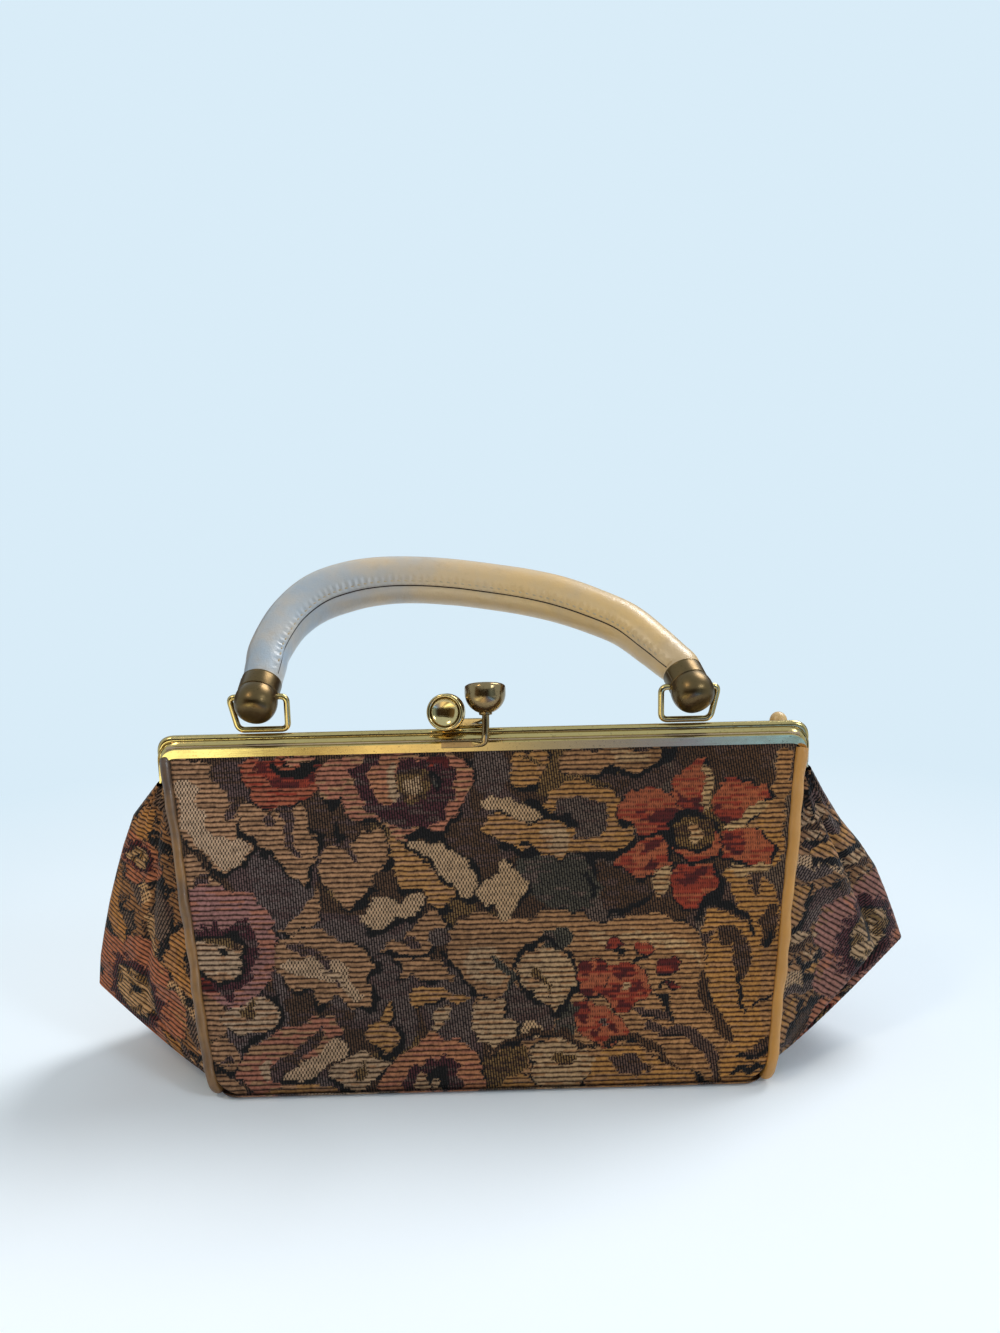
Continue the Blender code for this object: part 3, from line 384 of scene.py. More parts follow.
class Weaver:
    """Paints woven shapes on a grid of cloth places, in millimetres.

    Edges step from rib to rib and wander, as they do on a loom.
    """

    def __init__(self, x, z, rib, seed=1):
        row = np.floor(z / rib * 2)
        step = 1.7 * (value_noise(x, row * 5.3, 3.2, seed + 5) - 0.5)
        self.x = x + step + 2.9 * (value_noise(x, z, 3.8, seed + 6) - 0.5)
        self.z = (row + 0.5) * rib / 2 + 2.6 * (value_noise(x, z, 3.4, seed + 7) - 0.5)
        self.true = (x, z)
        self.dither = value_noise(x, row * 9.1, 5.5, seed + 8)
        self.patchy = np.clip(2.6 * value_noise(x, z, 6.5, seed + 9) - 0.45, 0.15, 1.25)
        self.blot = value_noise(x, z, 2.3, seed + 10)
        self.rgb = np.empty(x.shape + (3,))
        patch = value_noise(x, z, 17, seed) + 0.3 * (value_noise(x, z, 6, seed + 1) - 0.5)
        self.rgb[:] = EARTH
        self.rgb[patch > 0.50] = PLUM_GREY
        self.rgb[patch > 0.66] = SLATE
        self.rgb[patch < 0.24] = OLIVE
        self.kind = np.full(x.shape, GROUND)

    def fill(self, inside, colour, kind=None):
        self.rgb[inside] = colour
        if kind is not None:
            self.kind[inside] = kind

    def blend(self, inside, colour, share):
        """Rows of a second colour among the first, more of them as share rises."""
        self.rgb[inside & (self.dither < share)] = colour

    def shape(self, d, colour, kind, edge=1.8):
        """Fills where the distance is negative, with a broken dark edge that is widest below and right."""
        down, across = np.gradient(d)
        shade = 0.5 + 0.5 * (across - 1.3 * down) / (np.hypot(across, down) + 1e-6)
        rim = (d >= 0) & (d < edge * (0.15 + share_of(shade)) * self.patchy)
        self.fill(rim, INK, GROUND)
        self.fill(d < 0, colour, kind)

    def patch(self, threads, edge, points):
        """A woven shape from its outline, lined with a broken dark edge below it and at its right."""
        ring = rounded_outline(points)
        low, high = ring.min(axis=0) - 3, ring.max(axis=0) + 3
        box = (self.x > low[0]) & (self.x < high[0]) & (self.z > low[1]) & (self.z < high[1])
        x, z = self.x[box], self.z[box]
        far, away, _ = nearest(x, z, np.concatenate([ring, ring[:1]]))
        crossed = np.zeros(x.shape, bool)
        for (ax, az), (bx, bz) in zip(ring, np.roll(ring, -1, axis=0)):
            if az != bz:
                crossed ^= ((az > z) != (bz > z)) & (x < ax + (z - az) * (bx - ax) / (bz - az))
        lean = 0.5 + 0.5 * (away[0] - 1.3 * away[1]) / (far + 1e-6)
        rim = ~crossed & (far < edge * (0.12 + share_of(lean)) * self.patchy[box])
        light, dark, kind = THREADS[threads]
        rgb, kinds = self.rgb[box], self.kind[box]
        rgb[rim], kinds[rim] = INK, GROUND
        rgb[crossed], kinds[crossed] = light, kind
        rgb[crossed & (self.dither[box] < 0.34)] = dark
        self.rgb[box], self.kind[box] = rgb, kinds

    def stroke(self, threads, width, points):
        """A long narrow shape along a line, thinning to both ends."""
        line = smooth_line([(px, 0, pz) for px, pz in zip(points[::2], points[1::2])], 24)[:, [0, 2]]
        low, high = line.min(axis=0) - width, line.max(axis=0) + width
        box = (self.x > low[0]) & (self.x < high[0]) & (self.z > low[1]) & (self.z < high[1])
        far, away, share = nearest(self.x[box], self.z[box], line)
        inside = far < width / 2 * (0.35 + 0.65 * np.sin(pi * share_of(share)) ** 0.6)
        light, dark, kind = THREADS[threads]
        rgb, kinds = self.rgb[box], self.kind[box]
        rgb[inside], kinds[inside] = light, kind
        rgb[inside & (away[0] - away[1] > 0.2 * width)] = INK if kind == GROUND else dark
        self.rgb[box], self.kind[box] = rgb, kinds

    def flower(self, centre, size, looks, turn):
        """An open flower: petals shaded towards a jagged dark ring round an uneven heart."""
        tip, mid, deep, ring, core = looks
        dx, dz = self.x - centre[0], self.z - centre[1]
        rho, theta = np.hypot(dx, dz), np.arctan2(dz, dx)
        part = ((theta - turn) * PETALS / (2 * pi)) % 1
        gap = np.abs(part - 0.5)
        lobe = 1 - (2 * (0.5 - gap)) ** 3.0
        d = rho - size * (0.70 + 0.30 * share_of(lobe))
        self.shape(d, tip, RIBS, 1.1)
        inside = d < 0
        near = share_of(1.35 - rho / size)
        self.blend(inside, mid, 0.15 + 1.25 * near)
        self.blend(inside & (part > 0.5) & (part < 0.74), deep, 0.75 * near + 0.1)
        self.fill(inside & (gap * 2 * pi / PETALS * rho < 0.55) & (rho > size * 0.5), deep)
        spikes = np.abs(((theta * PETALS * 0.95 + 2.0 * self.dither) % 2) - 1)
        reach = size * (HEART + 0.10 + 0.17 * spikes * (0.5 + self.dither))
        self.fill(inside & (rho < reach), ring, GROUND)
        self.fill(inside & (rho < size * HEART * 1.08), INK, GROUND)
        bowl = inside & (rho < size * HEART * (0.90 + 0.12 * self.dither))
        self.fill(bowl, core, RIBS)
        self.blend(bowl & (dz > size * 0.02), OLIVE, 0.55)
        self.fill(bowl & (self.blot > 0.66), OLIVE, GROUND)
        self.fill(bowl & (np.hypot(dx + size * 0.02, dz - size * 0.05) < size * 0.09), INK, GROUND)

    def leaf(self, start, stop, width, looks, bend, edge, other=None):
        """A scalloped leaf along a bent line: two tones about a jagged rib, and an inner weave."""
        a, b = np.array(start, float), np.array(stop, float)
        chord = b - a
        length = np.hypot(*chord)
        along, across = chord / length, np.array([-chord[1], chord[0]]) / length
        dx, dz = self.x - a[0], self.z - a[1]
        t = (dx * along[0] + dz * along[1]) / length
        s = dx * across[0] + dz * across[1] - bend * 4 * t * (1 - t)
        inside = share_of(t)
        scallop = np.abs(np.sin(pi * LOBES * inside + 0.6 * np.sign(s))) ** 0.6
        half = width / 2 * np.sin(pi * inside**0.75) ** 0.62 * (0.62 + 0.38 * scallop)
        off = np.maximum(np.maximum(-t, t - 1), 0) * length
        light, dark, vein = looks
        self.shape(np.maximum(np.abs(s) - half, off * 1.2 - 0.01), light, RIBS, edge)
        within = (np.abs(s) < half) & (off == 0)
        self.blend(within & (s < 0), dark, 0.75)
        self.blend(within & (s > half * 0.55), dark, 0.4)
        if other is not None:
            colour, weave, low, high = other
            zone = within & (s > half * low) & (s < half * high) & (t > 0.12) & (t < 0.9 + 0.1 * self.dither)
            self.fill(zone, colour, weave)
        wide = half * 0.13 * (0.6 + 1.3 * self.dither) + 0.3
        self.fill(within & (np.abs(s) < wide) & (t > 0.06) & (t < 0.82), vein, GROUND)
        notch = ((t * LOBES + 0.35 * np.abs(s) / max(width, 1)) % 1)
        self.fill(within & (np.abs(notch - 0.82) < 0.045) & (np.abs(s) > half * 0.42), INK, GROUND)

    def band(self, line, width, looks, edge):
        """A long curved band that narrows to both ends, darker down one side."""
        line = smooth_line([(x, 0, z) for x, z in line], 60)[:, [0, 2]]
        best = np.full(self.x.shape, 1e9)
        share = np.zeros(self.x.shape)
        side = np.zeros(self.x.shape)
        for i, (p, q) in enumerate(zip(line, np.gradient(line, axis=0))):
            dx, dz = self.x - p[0], self.z - p[1]
            dist = np.hypot(dx, dz)
            near = dist < best
            best[near], share[near] = dist[near], i / 59
            side[near] = (q[0] * dz - q[1] * dx)[near]
        half = width / 2 * np.sin(pi * np.clip(share, 0.03, 0.97)) ** 0.45
        light, dark = looks
        self.shape(best - half, light, RIBS, edge)
        self.blend((best < half) & (side < 0), dark, 0.7)

    def done(self, seed):
        """Thread to thread variation, slow fading, worn places, and a tint from left to right that is partly
        the cloth's age and partly painted light.
        """
        x, z = self.true
        thread = value_noise(x, z * 14, 9, seed + 11) - 0.5
        slow = value_noise(x, z, 34, seed + 12) - 0.5
        fleck = value_noise(x * 2.4, z * 2.4, 1.6, seed + 13) - 0.5
        tone = 1 + 0.30 * thread + 0.34 * slow + 0.34 * fleck
        age_and_light = np.stack([np.interp(x, AGE_AND_LIGHT_AT, column) for column in zip(*AGE_AND_LIGHT)], axis=-1)
        return self.rgb * tone[..., None] * age_and_light, self.kind


ROSE_LOOK = (TAN, ROSE, MAUVE, PLUM, CREAM)
MAUVE_LOOK = (SAND, MAUVE, ROSE, PLUM, CREAM)
SALMON_LOOK = (SALMON, ROSE, MAUVE, BLOOD, CREAM)
TAN_LEAF = (TAN, SAND, SLATE)
CREAM_LEAF = (CREAM, SAND, EARTH)
INNER_BASKET = (CREAM, BASKET, -0.05, 0.72)


# The front's woven shapes in millimetres: threads, dark edge, then outlines as x, z, x, z and so on
LEAVES = (
    # The ground between the shapes
    ("slate", 0, (-80, 76, -74, 75, -66, 68, -60, 66, -58, 58, -62, 52, -70, 50, -76, 56, -80, 64)),
    ("teal", 0, (8, 71, 22, 71, 32, 71, 38, 66, 38, 55, 28, 53, 18, 55, 12, 62)),
    ("slate", 0, (-38, 42, -30, 40, -26, 32, -24, 18, -28, 11, -40, 12, -41, 28)),
    ("earth", 0, (-14, 82, -4, 86, 2, 80, 4, 68, -2, 62, -8, 70, -16, 76)),
    ("grey", 0, (38, 98, 64, 99, 68, 94, 56, 91, 46, 91, 42, 94)),
    ("earth", 0, (-60, 92, -50, 91, -44, 85, -44, 76, -52, 75, -60, 76)),
    ("slate", 0, (-6, 105, 8, 105, 9, 95, 4, 91, -4, 92)),
    ("earth", 0, (36, 70, 46, 66, 58, 62, 72, 52, 60, 50, 40, 51),
     (80, 104, 100, 104, 100, 90, 90, 91, 82, 96)),
    # Upper left: a broad leaf with a basket-weave side
    ("tan", 1.4, (-109, 105, -96, 105, -93, 98, -91, 95, -86, 91, -84, 86, -80, 82, -80, 75, -84, 70,
      -88, 67, -92, 69, -97, 76, -101, 76, -104, 80, -106, 88, -109, 96)),
    ("pale", 0, (-107, 99, -99, 98, -99, 90, -96, 84, -94, 78, -88, 79, -80, 78, -84, 70, -87, 68,
      -91, 69, -96, 76, -102, 79, -105, 88)),
    ("grey", 0, (-95, 105, -84, 105, -82, 97, -80, 91, -85, 88, -88, 83, -90, 86, -88, 92, -93, 98)),
    ("tan", 1.0, (-106, 73, -99, 74, -94, 68, -91, 64, -98, 63, -104, 64)),
    ("grey", 0, (-100, 66, -94, 68, -93, 64, -99, 63)),
    # The leaf with three lobes beside it
    ("tan", 2.2, (-85, 89, -80, 91, -74, 90, -68, 89, -61, 88, -59, 82, -58, 74, -60, 67, -62, 63,
      -66, 66, -70, 70, -73, 75, -76, 74, -78, 77, -80, 80, -84, 82)),
    ("grey", 0, (-71, 91, -65, 91, -66, 84, -66, 78, -63, 72, -66, 73, -70, 80, -70, 86),
     (-76, 86, -73, 88, -72, 84, -75, 82)),
    # The red flower that is cut by the frame
    ("rust ribs", 0.8, (-85, 105, -57, 105, -57, 96, -60, 91, -66, 89, -74, 88, -80, 91, -83, 96)),
    ("blood", 0, (-80, 104, -74, 104, -66, 100, -58, 101, -59, 96, -66, 94, -72, 95, -76, 98)),
    ("ink", 0, (-74, 104, -68, 101, -58, 102, -58, 99, -68, 98, -74, 100)),
    ("rose", 0.6, (-71, 105, -58, 105, -59, 102, -68, 102)),
    # The rose
    ("rose", 1.2, (-57, 105, -8, 105, -4, 99, -3, 94, -6, 90, -9, 86, -13, 83, -17, 80, -24, 79,
      -27, 76, -31, 77, -34, 81, -39, 84, -44, 84, -48, 87, -50, 90, -56, 90, -58, 96)),
    ("plum", 0, (-48, 100, -45, 98, -46, 93, -42, 91, -41, 86, -37, 86, -36, 82, -32, 83, -29, 80,
      -25, 82, -21, 80, -18, 83, -14, 83, -13, 88, -10, 90, -12, 94, -9, 98, -12, 101, -14, 105, -22, 104,
      -27, 102, -38, 105, -42, 105, -43, 101)),
    ("salmon", 0, (-40, 99, -36, 104, -30, 104, -29, 96, -31, 89, -34, 88, -38, 92)),
    ("pale ribs", 0, (-33, 102, -30, 102, -30, 90, -33, 89)),
    ("olive", 0, (-29, 100, -20, 101, -18, 95, -20, 89, -26, 88, -30, 92)),
    ("cream ground", 0, (-28, 97, -22, 97, -22, 91, -27, 90)),
    ("ink", 0, (-19, 100, -15, 99, -14, 95, -16, 92, -19, 94)),
    ("teal", 0, (-18, 97, -16, 97, -16, 94, -18, 94)),
    ("blood", 0, (-20, 105, -12, 103, -13, 99, -19, 102)),
    # Lobes below the rose
    ("tan", 2.2, (-58, 72, -54, 77, -47, 73, -43, 77, -42, 81, -36, 80, -34, 76, -33, 71, -35, 67,
      -38, 67, -38, 63, -41, 62, -43, 60, -44, 57, -48, 56, -51, 59, -54, 63, -57, 66)),
    ("grey", 0, (-48, 79, -45, 76, -44, 70, -47, 70)),
    ("pale", 1.6, (-44, 51, -41, 56, -38, 60, -33, 60, -29, 57, -26, 60, -22, 59, -22, 56, -26, 53,
      -29, 54, -32, 50, -38, 50)),
    ("ochre", 2.4, (-34, 79, -30, 77, -28, 74, -24, 72, -19, 68, -16, 64, -13, 62, -11, 60, -13, 57,
      -17, 56, -21, 58, -23, 61, -25, 62, -28, 62, -31, 66, -33, 72)),
    ("pale", 1.8, (-28, 76, -22, 77, -17, 76, -13, 74, -9, 71, -6, 69, -5, 65, -3, 61, -6, 58,
      -9, 59, -11, 62, -14, 65, -18, 68, -21, 71, -24, 73),
     (-3, 63, -3, 57, 0, 54, 3, 57, 4, 52, 7, 50, 9, 54, 11, 58, 15, 60, 13, 64, 9, 67, 5, 70, 4, 65, 1, 64)),
    # The long ochre leaf of the upper middle
    ("ochre", 1.0, (9, 105, 23, 105, 21, 99, 18, 94, 12, 92, 8, 94)),
    ("ochre", 2.0, (20, 87, 25, 92, 31, 96, 38, 94, 44, 91, 47, 86, 46, 81, 51, 77, 46, 73, 38, 71,
      32, 72, 24, 70, 14, 73, 4, 76, -1, 80, 1, 84, 10, 83, 18, 80, 24, 84)),
    ("slate", 0, (24, 87, 30, 89, 38, 88, 42, 85, 41, 80, 37, 76, 32, 75, 29, 80, 23, 83)),
    ("pale", 0.8, (-2, 88, 3, 91, 10, 88, 16, 88, 20, 86, 20, 82, 14, 81, 8, 84, 0, 85)),
    ("ink", 0, (12, 87, 16, 90, 20, 87, 24, 85, 30, 84, 31, 80, 26, 81, 20, 84)),
    ("cream", 0, (19, 79, 26, 81, 30, 76, 27, 70, 21, 73)),
    ("tan", 1.8, (25, 99, 27, 105, 64, 105, 60, 101, 53, 97, 48, 98, 45, 101, 41, 98, 36, 97, 30, 96)),
    ("cream", 0, (42, 104, 60, 104, 54, 100, 46, 101)),
)
LOWER = (
    # The mauve flower at the left
    ("mauve", 1.0, (-104, 64, -96, 64, -88, 63, -80, 61, -76, 57, -72, 51, -70, 46, -70, 40, -73, 36,
      -76, 31, -80, 28, -86, 26, -94, 27, -100, 30)),
    ("plum", 0, (-100, 51, -98, 50, -97, 54, -95, 50, -92, 54, -89, 50, -86, 53, -83, 55, -81, 50,
      -78, 47, -77, 42, -80, 39, -80, 34, -84, 33, -87, 27, -90, 30, -94, 31, -98, 35, -101, 37)),
    ("ink", 0, (-101, 48, -96, 49, -90, 49, -85, 50, -82, 46, -81, 41, -83, 37, -88, 33, -94, 33,
      -99, 36)),
    ("cream", 0, (-101, 46, -96, 47, -90, 47, -85, 47, -83, 43, -83, 39, -86, 36, -92, 34, -97, 37,
      -101, 41)),
    ("olive", 0, (-97, 48, -90, 48, -85, 47, -84, 43, -89, 45, -95, 46)),
    ("ink", 0, (-93, 44, -89, 44, -88, 42, -91, 41)),
    ("blood ribs", 0, (-99, 36, -94, 33, -92, 30, -98, 31)),
    # Leaves below it
    ("tan", 0, (-99, 31, -92, 29, -88, 24, -88, 18, -93, 16, -97, 20)),
    ("slate", 0, (-90, 20, -76, 19, -76, 16, -80, 13, -83, 10, -87, 14),
     (-74, 34, -70, 37, -67, 32, -67, 24, -68, 18, -71, 18, -71, 28)),
    ("earth", 0, (-70, 33, -65, 30, -60, 32, -54, 25, -46, 24, -48, 18, -62, 21, -67, 20)),
    ("cream", 2.2, (-90, 20, -89, 25, -85, 27, -82, 28, -78, 30, -74, 29, -71, 25, -71, 20, -74, 18,
      -79, 19, -83, 17, -87, 19)),
    ("olive", 0, (-85, 26, -81, 27, -78, 30, -78, 25, -80, 22, -84, 24)),
    ("tan", 1.8, (-96, 15, -91, 17, -87, 15, -84, 12, -83, 9, -86, 6, -92, 8, -95, 11)),
    ("grey", 0, (-91, 10, -87, 11, -86, 8, -90, 8)),
    ("tan", 1.2, (-96, 6, -88, 6, -84, 2, -82, -4, -92, -4)),
    ("rose", 2.4, (-86, 5, -82, 10, -78, 14, -74, 17, -68, 19, -60, 22, -52, 21, -49, 18, -54, 12,
      -60, 7, -66, 2, -74, -4, -80, -4, -82, 2)),
    ("grey", 0, (-75, 4, -72, 9, -66, 12, -60, 17, -55, 19, -57, 14, -65, 8, -70, 2)),
    ("pale ribs", 0, (-78, 2, -76, 9, -72, 11, -74, 4)),
    ("pale", 1.4, (-70, 4, -64, 8, -58, 11, -52, 15, -47, 13, -49, 10, -56, 8, -60, 3, -66, 2)),
    ("ochre", 1.0, (-76, 0, -66, 1, -54, 1, -46, -4, -78, -4)),
    # The big leaf at the middle left
    ("tan", 0.8, (-71, 50, -64, 54, -60, 59, -57, 63, -56, 57, -57, 51, -60, 49, -66, 48)),
    ("tan", 2.4, (-70, 47, -60, 50, -52, 48, -46, 45, -42, 42, -40, 39, -38, 36, -42, 34, -40, 30,
      -41, 25, -45, 26, -47, 24, -50, 27, -52, 30, -54, 26, -57, 25, -60, 30, -63, 32, -66, 30, -69, 34,
      -71, 39)),
    ("pale", 0, (-69, 41, -66, 40, -60, 41, -54, 40, -48, 37, -44, 31, -43, 27, -47, 28, -52, 33,
      -58, 35, -64, 35, -69, 37)),
    ("grey", 0, (-69, 46, -62, 46, -57, 42, -53, 38, -48, 30, -51, 31, -55, 36, -59, 41, -64, 42)),
    # Flame leaves
    ("tan", 1.2, (-37, 43, -30, 46, -26, 49, -22, 54, -18, 55, -14, 52, -14, 46, -18, 42, -24, 40,
      -30, 42)),
    ("slate", 0, (-20, 50, -14, 51, -12, 46, -17, 42, -21, 46)),
    ("grey", 0, (-30, 47, -25, 47, -22, 43, -27, 44)),
    ("tan", 1.0, (-34, 41, -26, 39, -20, 40, -16, 38, -12, 34, -14, 32, -20, 33, -26, 34, -31, 34,
      -28, 37)),
    ("ochre", 0.8, (-26, 31, -18, 31, -12, 29, -5, 27, -10, 25, -16, 27, -22, 27, -25, 24)),
    ("ochre", 2.0, (-43, 17, -38, 20, -36, 25, -34, 26, -34, 20, -31, 18, -31, 12, -34, 10, -38, 13)),
    ("slate", 0, (-18, 13, -16, 19, -14, 26, -11, 24, -12, 16, -15, 13)),
    ("cream", 0.6, (-21, 13, -20, 20, -16, 25, -14, 26, -15, 21, -18, 17, -18, 13)),
    ("cream", 1.6, (-55, 6, -50, 9, -44, 11, -38, 10, -33, 7, -38, 4, -40, 0, -46, -2, -51, 1)),
    ("olive", 0, (-46, 6, -42, 8, -40, 4, -44, 1)),
    # The low rose
    ("salmon", 1.0, (-38, 2, -33, 7, -28, 11, -23, 14, -18, 16, -13, 15, -9, 12, -4, 10, -2, 5,
      -1, -4, -36, -4)),
    ("plum", 0, (-30, 2, -27, 5, -26, 8, -23, 6, -21, 10, -18, 7, -15, 11, -13, 7, -10, 7, -11, 3,
      -8, 1, -10, -4, -28, -4)),
    ("cream", 0, (-26, -1, -24, 4, -21, 5, -20, 1, -22, -3)),
    ("ink", 0, (-21, 5, -17, 6, -14, 3, -15, -4, -20, -4)),
    ("cream", 0, (-19, 2, -17, 3, -17, -1, -20, -1)),
)
RIGHT_SIDE = (
    # The tan arch that all of the right stands on
    ("tan", 2.0, (-12, 49, -8, 52, 0, 53, 8, 50, 18, 53, 28, 54, 36, 50, 52, 52, 66, 50, 72, 46,
      74, 40, 72, 33, 75, 25, 80, 14, 80, -4, -2, -4, -2, 8, 4, 14, -6, 14, -5, 24, -2, 28, -8, 32, -12, 38,
      -16, 41)),
    ("cream", 0, (36, 48, 60, 47, 70, 42, 72, 34, 66, 40, 50, 44, 34, 43),
     (-10, 42, 4, 44, 6, 30, -4, 31)),
    # Pale leaves left of the berries
    ("teal", 0, (17, 47, 28, 49, 28, 43, 22, 41, 18, 43)),
    ("slate", 0, (2, 26, 8, 31, 12, 28, 19, 27, 22, 20, 17, 14, 12, 12, 8, 16, 4, 20)),
    ("teal", 0, (22, 22, 28, 27, 30, 20, 26, 13, 19, 13)),
    ("cream", 1.8, (9, 37, 14, 41, 20, 42, 26, 41, 28, 37, 29, 33, 28, 28, 24, 25, 22, 22, 18, 27,
      13, 29, 10, 33)),
    ("olive", 0, (14, 33, 17, 36, 19, 33, 21, 26, 18, 31)),
    ("pale", 0, (9, 18, 14, 20, 19, 17, 17, 14, 11, 14)),
    ("cream", 1.4, (-5, 24, 0, 27, 4, 26, 6, 20, 10, 15, 4, 11, -5, 14, -6, 19)),
    ("olive", 0, (-2, 10, 4, 10, 12, 13, 14, 8, 8, 2, 2, -4, -2, 2)),
    ("cream", 1.8, (14, 12, 20, 15, 26, 13, 31, 9, 35, 7, 33, 3, 30, -1, 24, -4, 18, -2, 13, 3)),
    ("olive", 0, (19, 8, 27, 10, 28, 7, 22, 4)),
    ("ochre", 1.0, (4, 1, 10, 4, 14, 1, 18, -4, 2, -4)),
    ("ochre", 1.8, (33, 6, 38, 10, 44, 12, 50, 11, 55, 7, 60, 4, 68, 2, 72, -4, 32, -4)),
    ("grey", 0, (40, 8, 46, 9, 53, 5, 50, 1, 42, 3)),
    # The fan of slanted ochre leaves
    ("ochre", 0, (80, 66, 88, 62, 100, 62, 100, 40, 97, 20, 94, 2, 92, -4, 74, -4, 80, 10, 75, 25,
      72, 33, 76, 44, 72, 48, 75, 53, 82, 52, 88, 46, 84, 58)),
    ("tan", 0, (92, 40, 98, 42, 96, 18, 92, 10, 90, 24)),
    ("earth", 0, (84, 46, 88, 42, 88, 34, 86, 29, 83, 30, 82, 36),
     (76, 46, 83, 47, 86, 43, 80, 40),
     (92, 50, 99, 55, 99, 44, 95, 42, 93, 38)),
    ("ink", 0, (94, 44, 98, 46, 96, 40, 93, 39)),
    ("earth", 0, (84, 6, 88, 9, 95, 15, 95, 9, 90, 5),
     (90, 66, 94, 66, 92, 56, 89, 58)),
    # The red flower
    ("tan", 0, (84, 80, 90, 82, 95, 86, 99, 90, 101, 96, 103, 104, 108, 104, 106, 92, 102, 80,
      100, 70)),
    ("ochre", 0, (92, 80, 101, 80, 101, 66, 97, 66, 95, 74)),
    ("rust", 2.0, (45, 86, 48, 89, 54, 91, 59, 92, 64, 90, 67, 86, 68, 82, 66, 79, 60, 77, 54, 77,
      50, 79, 46, 82)),
    ("rust", 1.6, (64, 90, 66, 94, 70, 98, 73, 101, 76, 103, 77, 96, 76, 88, 74, 83, 70, 82, 66, 86),
     (78, 86, 80, 90, 82, 93, 86, 95, 89, 94, 92, 91, 97, 91, 98, 88, 95, 86, 92, 82, 88, 80, 82, 79)),
    ("rust", 1.2, (81, 78, 86, 77, 91, 78, 96, 75, 98, 70, 97, 67, 92, 66, 86, 67, 81, 68, 79, 73)),
    ("red", 2.0, (61, 64, 66, 67, 72, 66, 77, 67, 79, 63, 78, 59, 74, 56, 71, 52, 66, 54, 62, 58)),
    ("rust", 1.2, (42, 68, 48, 72, 52, 75, 58, 76, 62, 74, 61, 70, 63, 67, 60, 64, 55, 63, 50, 63,
      46, 66)),
    ("blood", 0, (50, 86, 54, 85, 58, 83, 62, 86, 67, 84, 66, 79, 60, 77, 55, 80, 51, 83),
     (66, 90, 70, 88, 75, 89, 76, 84, 70, 82, 67, 85),
     (79, 86, 83, 84, 86, 86, 88, 82, 84, 79, 80, 81),
     (81, 76, 88, 77, 88, 72, 84, 69, 80, 71),
     (62, 66, 70, 64, 77, 66, 74, 62, 68, 61, 63, 63),
     (51, 71, 56, 75, 60, 75, 59, 72, 54, 70),
     (52, 66, 58, 69, 60, 66, 55, 64)),
    ("pale ribs", 0, (76, 100, 79, 99, 79, 92, 78, 86, 75, 83, 76, 92),
     (80, 79, 85, 80, 96, 88, 98, 86, 90, 79, 84, 76),
     (81, 66, 88, 65, 94, 67, 98, 68, 96, 65, 90, 63, 84, 63)),
    ("cream", 0, (57, 64, 62, 68, 64, 66, 61, 61, 59, 57, 56, 60)),
    ("ink", 0, (63, 80, 66, 84, 74, 84, 79, 81, 81, 74, 79, 68, 72, 66, 66, 68, 62, 73)),
    ("olive", 0, (65, 79, 70, 82, 77, 81, 78, 75, 73, 72, 66, 73)),
    ("rust", 0, (64, 73, 68, 71, 72, 70, 76, 72, 78, 78, 80, 76, 79, 70, 73, 67, 66, 69)),
    ("cream", 0, (69, 79, 74, 80, 73, 75, 70, 74)),
    # The berries: three small flowers and four buds
    ("rust", 0.8, (30, 34, 33, 38, 39, 38, 41, 33, 39, 27, 33, 26, 29, 29),
     (40, 36, 46, 36, 51, 34, 55, 30, 51, 25, 47, 21, 43, 22, 39, 26, 40, 31),
     (28, 19, 32, 25, 36, 24, 40, 22, 45, 20, 46, 16, 43, 12, 38, 10, 34, 12, 30, 15)),
    ("blood", 0, (30, 35, 33, 38, 36, 36, 34, 33),
     (36, 38, 40, 37, 40, 33, 37, 34),
     (29, 29, 35, 30, 36, 26, 31, 26),
     (41, 35, 46, 36, 49, 33, 46, 31, 42, 31),
     (38, 29, 43, 30, 44, 27, 40, 25),
     (47, 29, 52, 32, 53, 28, 48, 26),
     (42, 23, 46, 27, 48, 24, 45, 20),
     (29, 25, 33, 24, 32, 18, 28, 19),
     (38, 20, 42, 19, 42, 15, 39, 15),
     (34, 17, 37, 17, 37, 13, 34, 14)),
    ("pale ribs", 0, (44, 30, 47, 30, 47, 28, 44, 28)),
    ("slate", 0, (36, 19, 38, 20, 39, 17, 36, 17)),
    ("blood", 0.5, (40, 43, 42, 46, 45, 45, 45, 42, 41, 41)),
    ("red", 0.5, (50, 42, 53, 44, 56, 42, 54, 39, 51, 40)),
    ("blood", 0.5, (57, 34, 60, 39, 64, 39, 64, 34, 60, 33),
     (58, 30, 62, 31, 65, 29, 61, 27)),
)
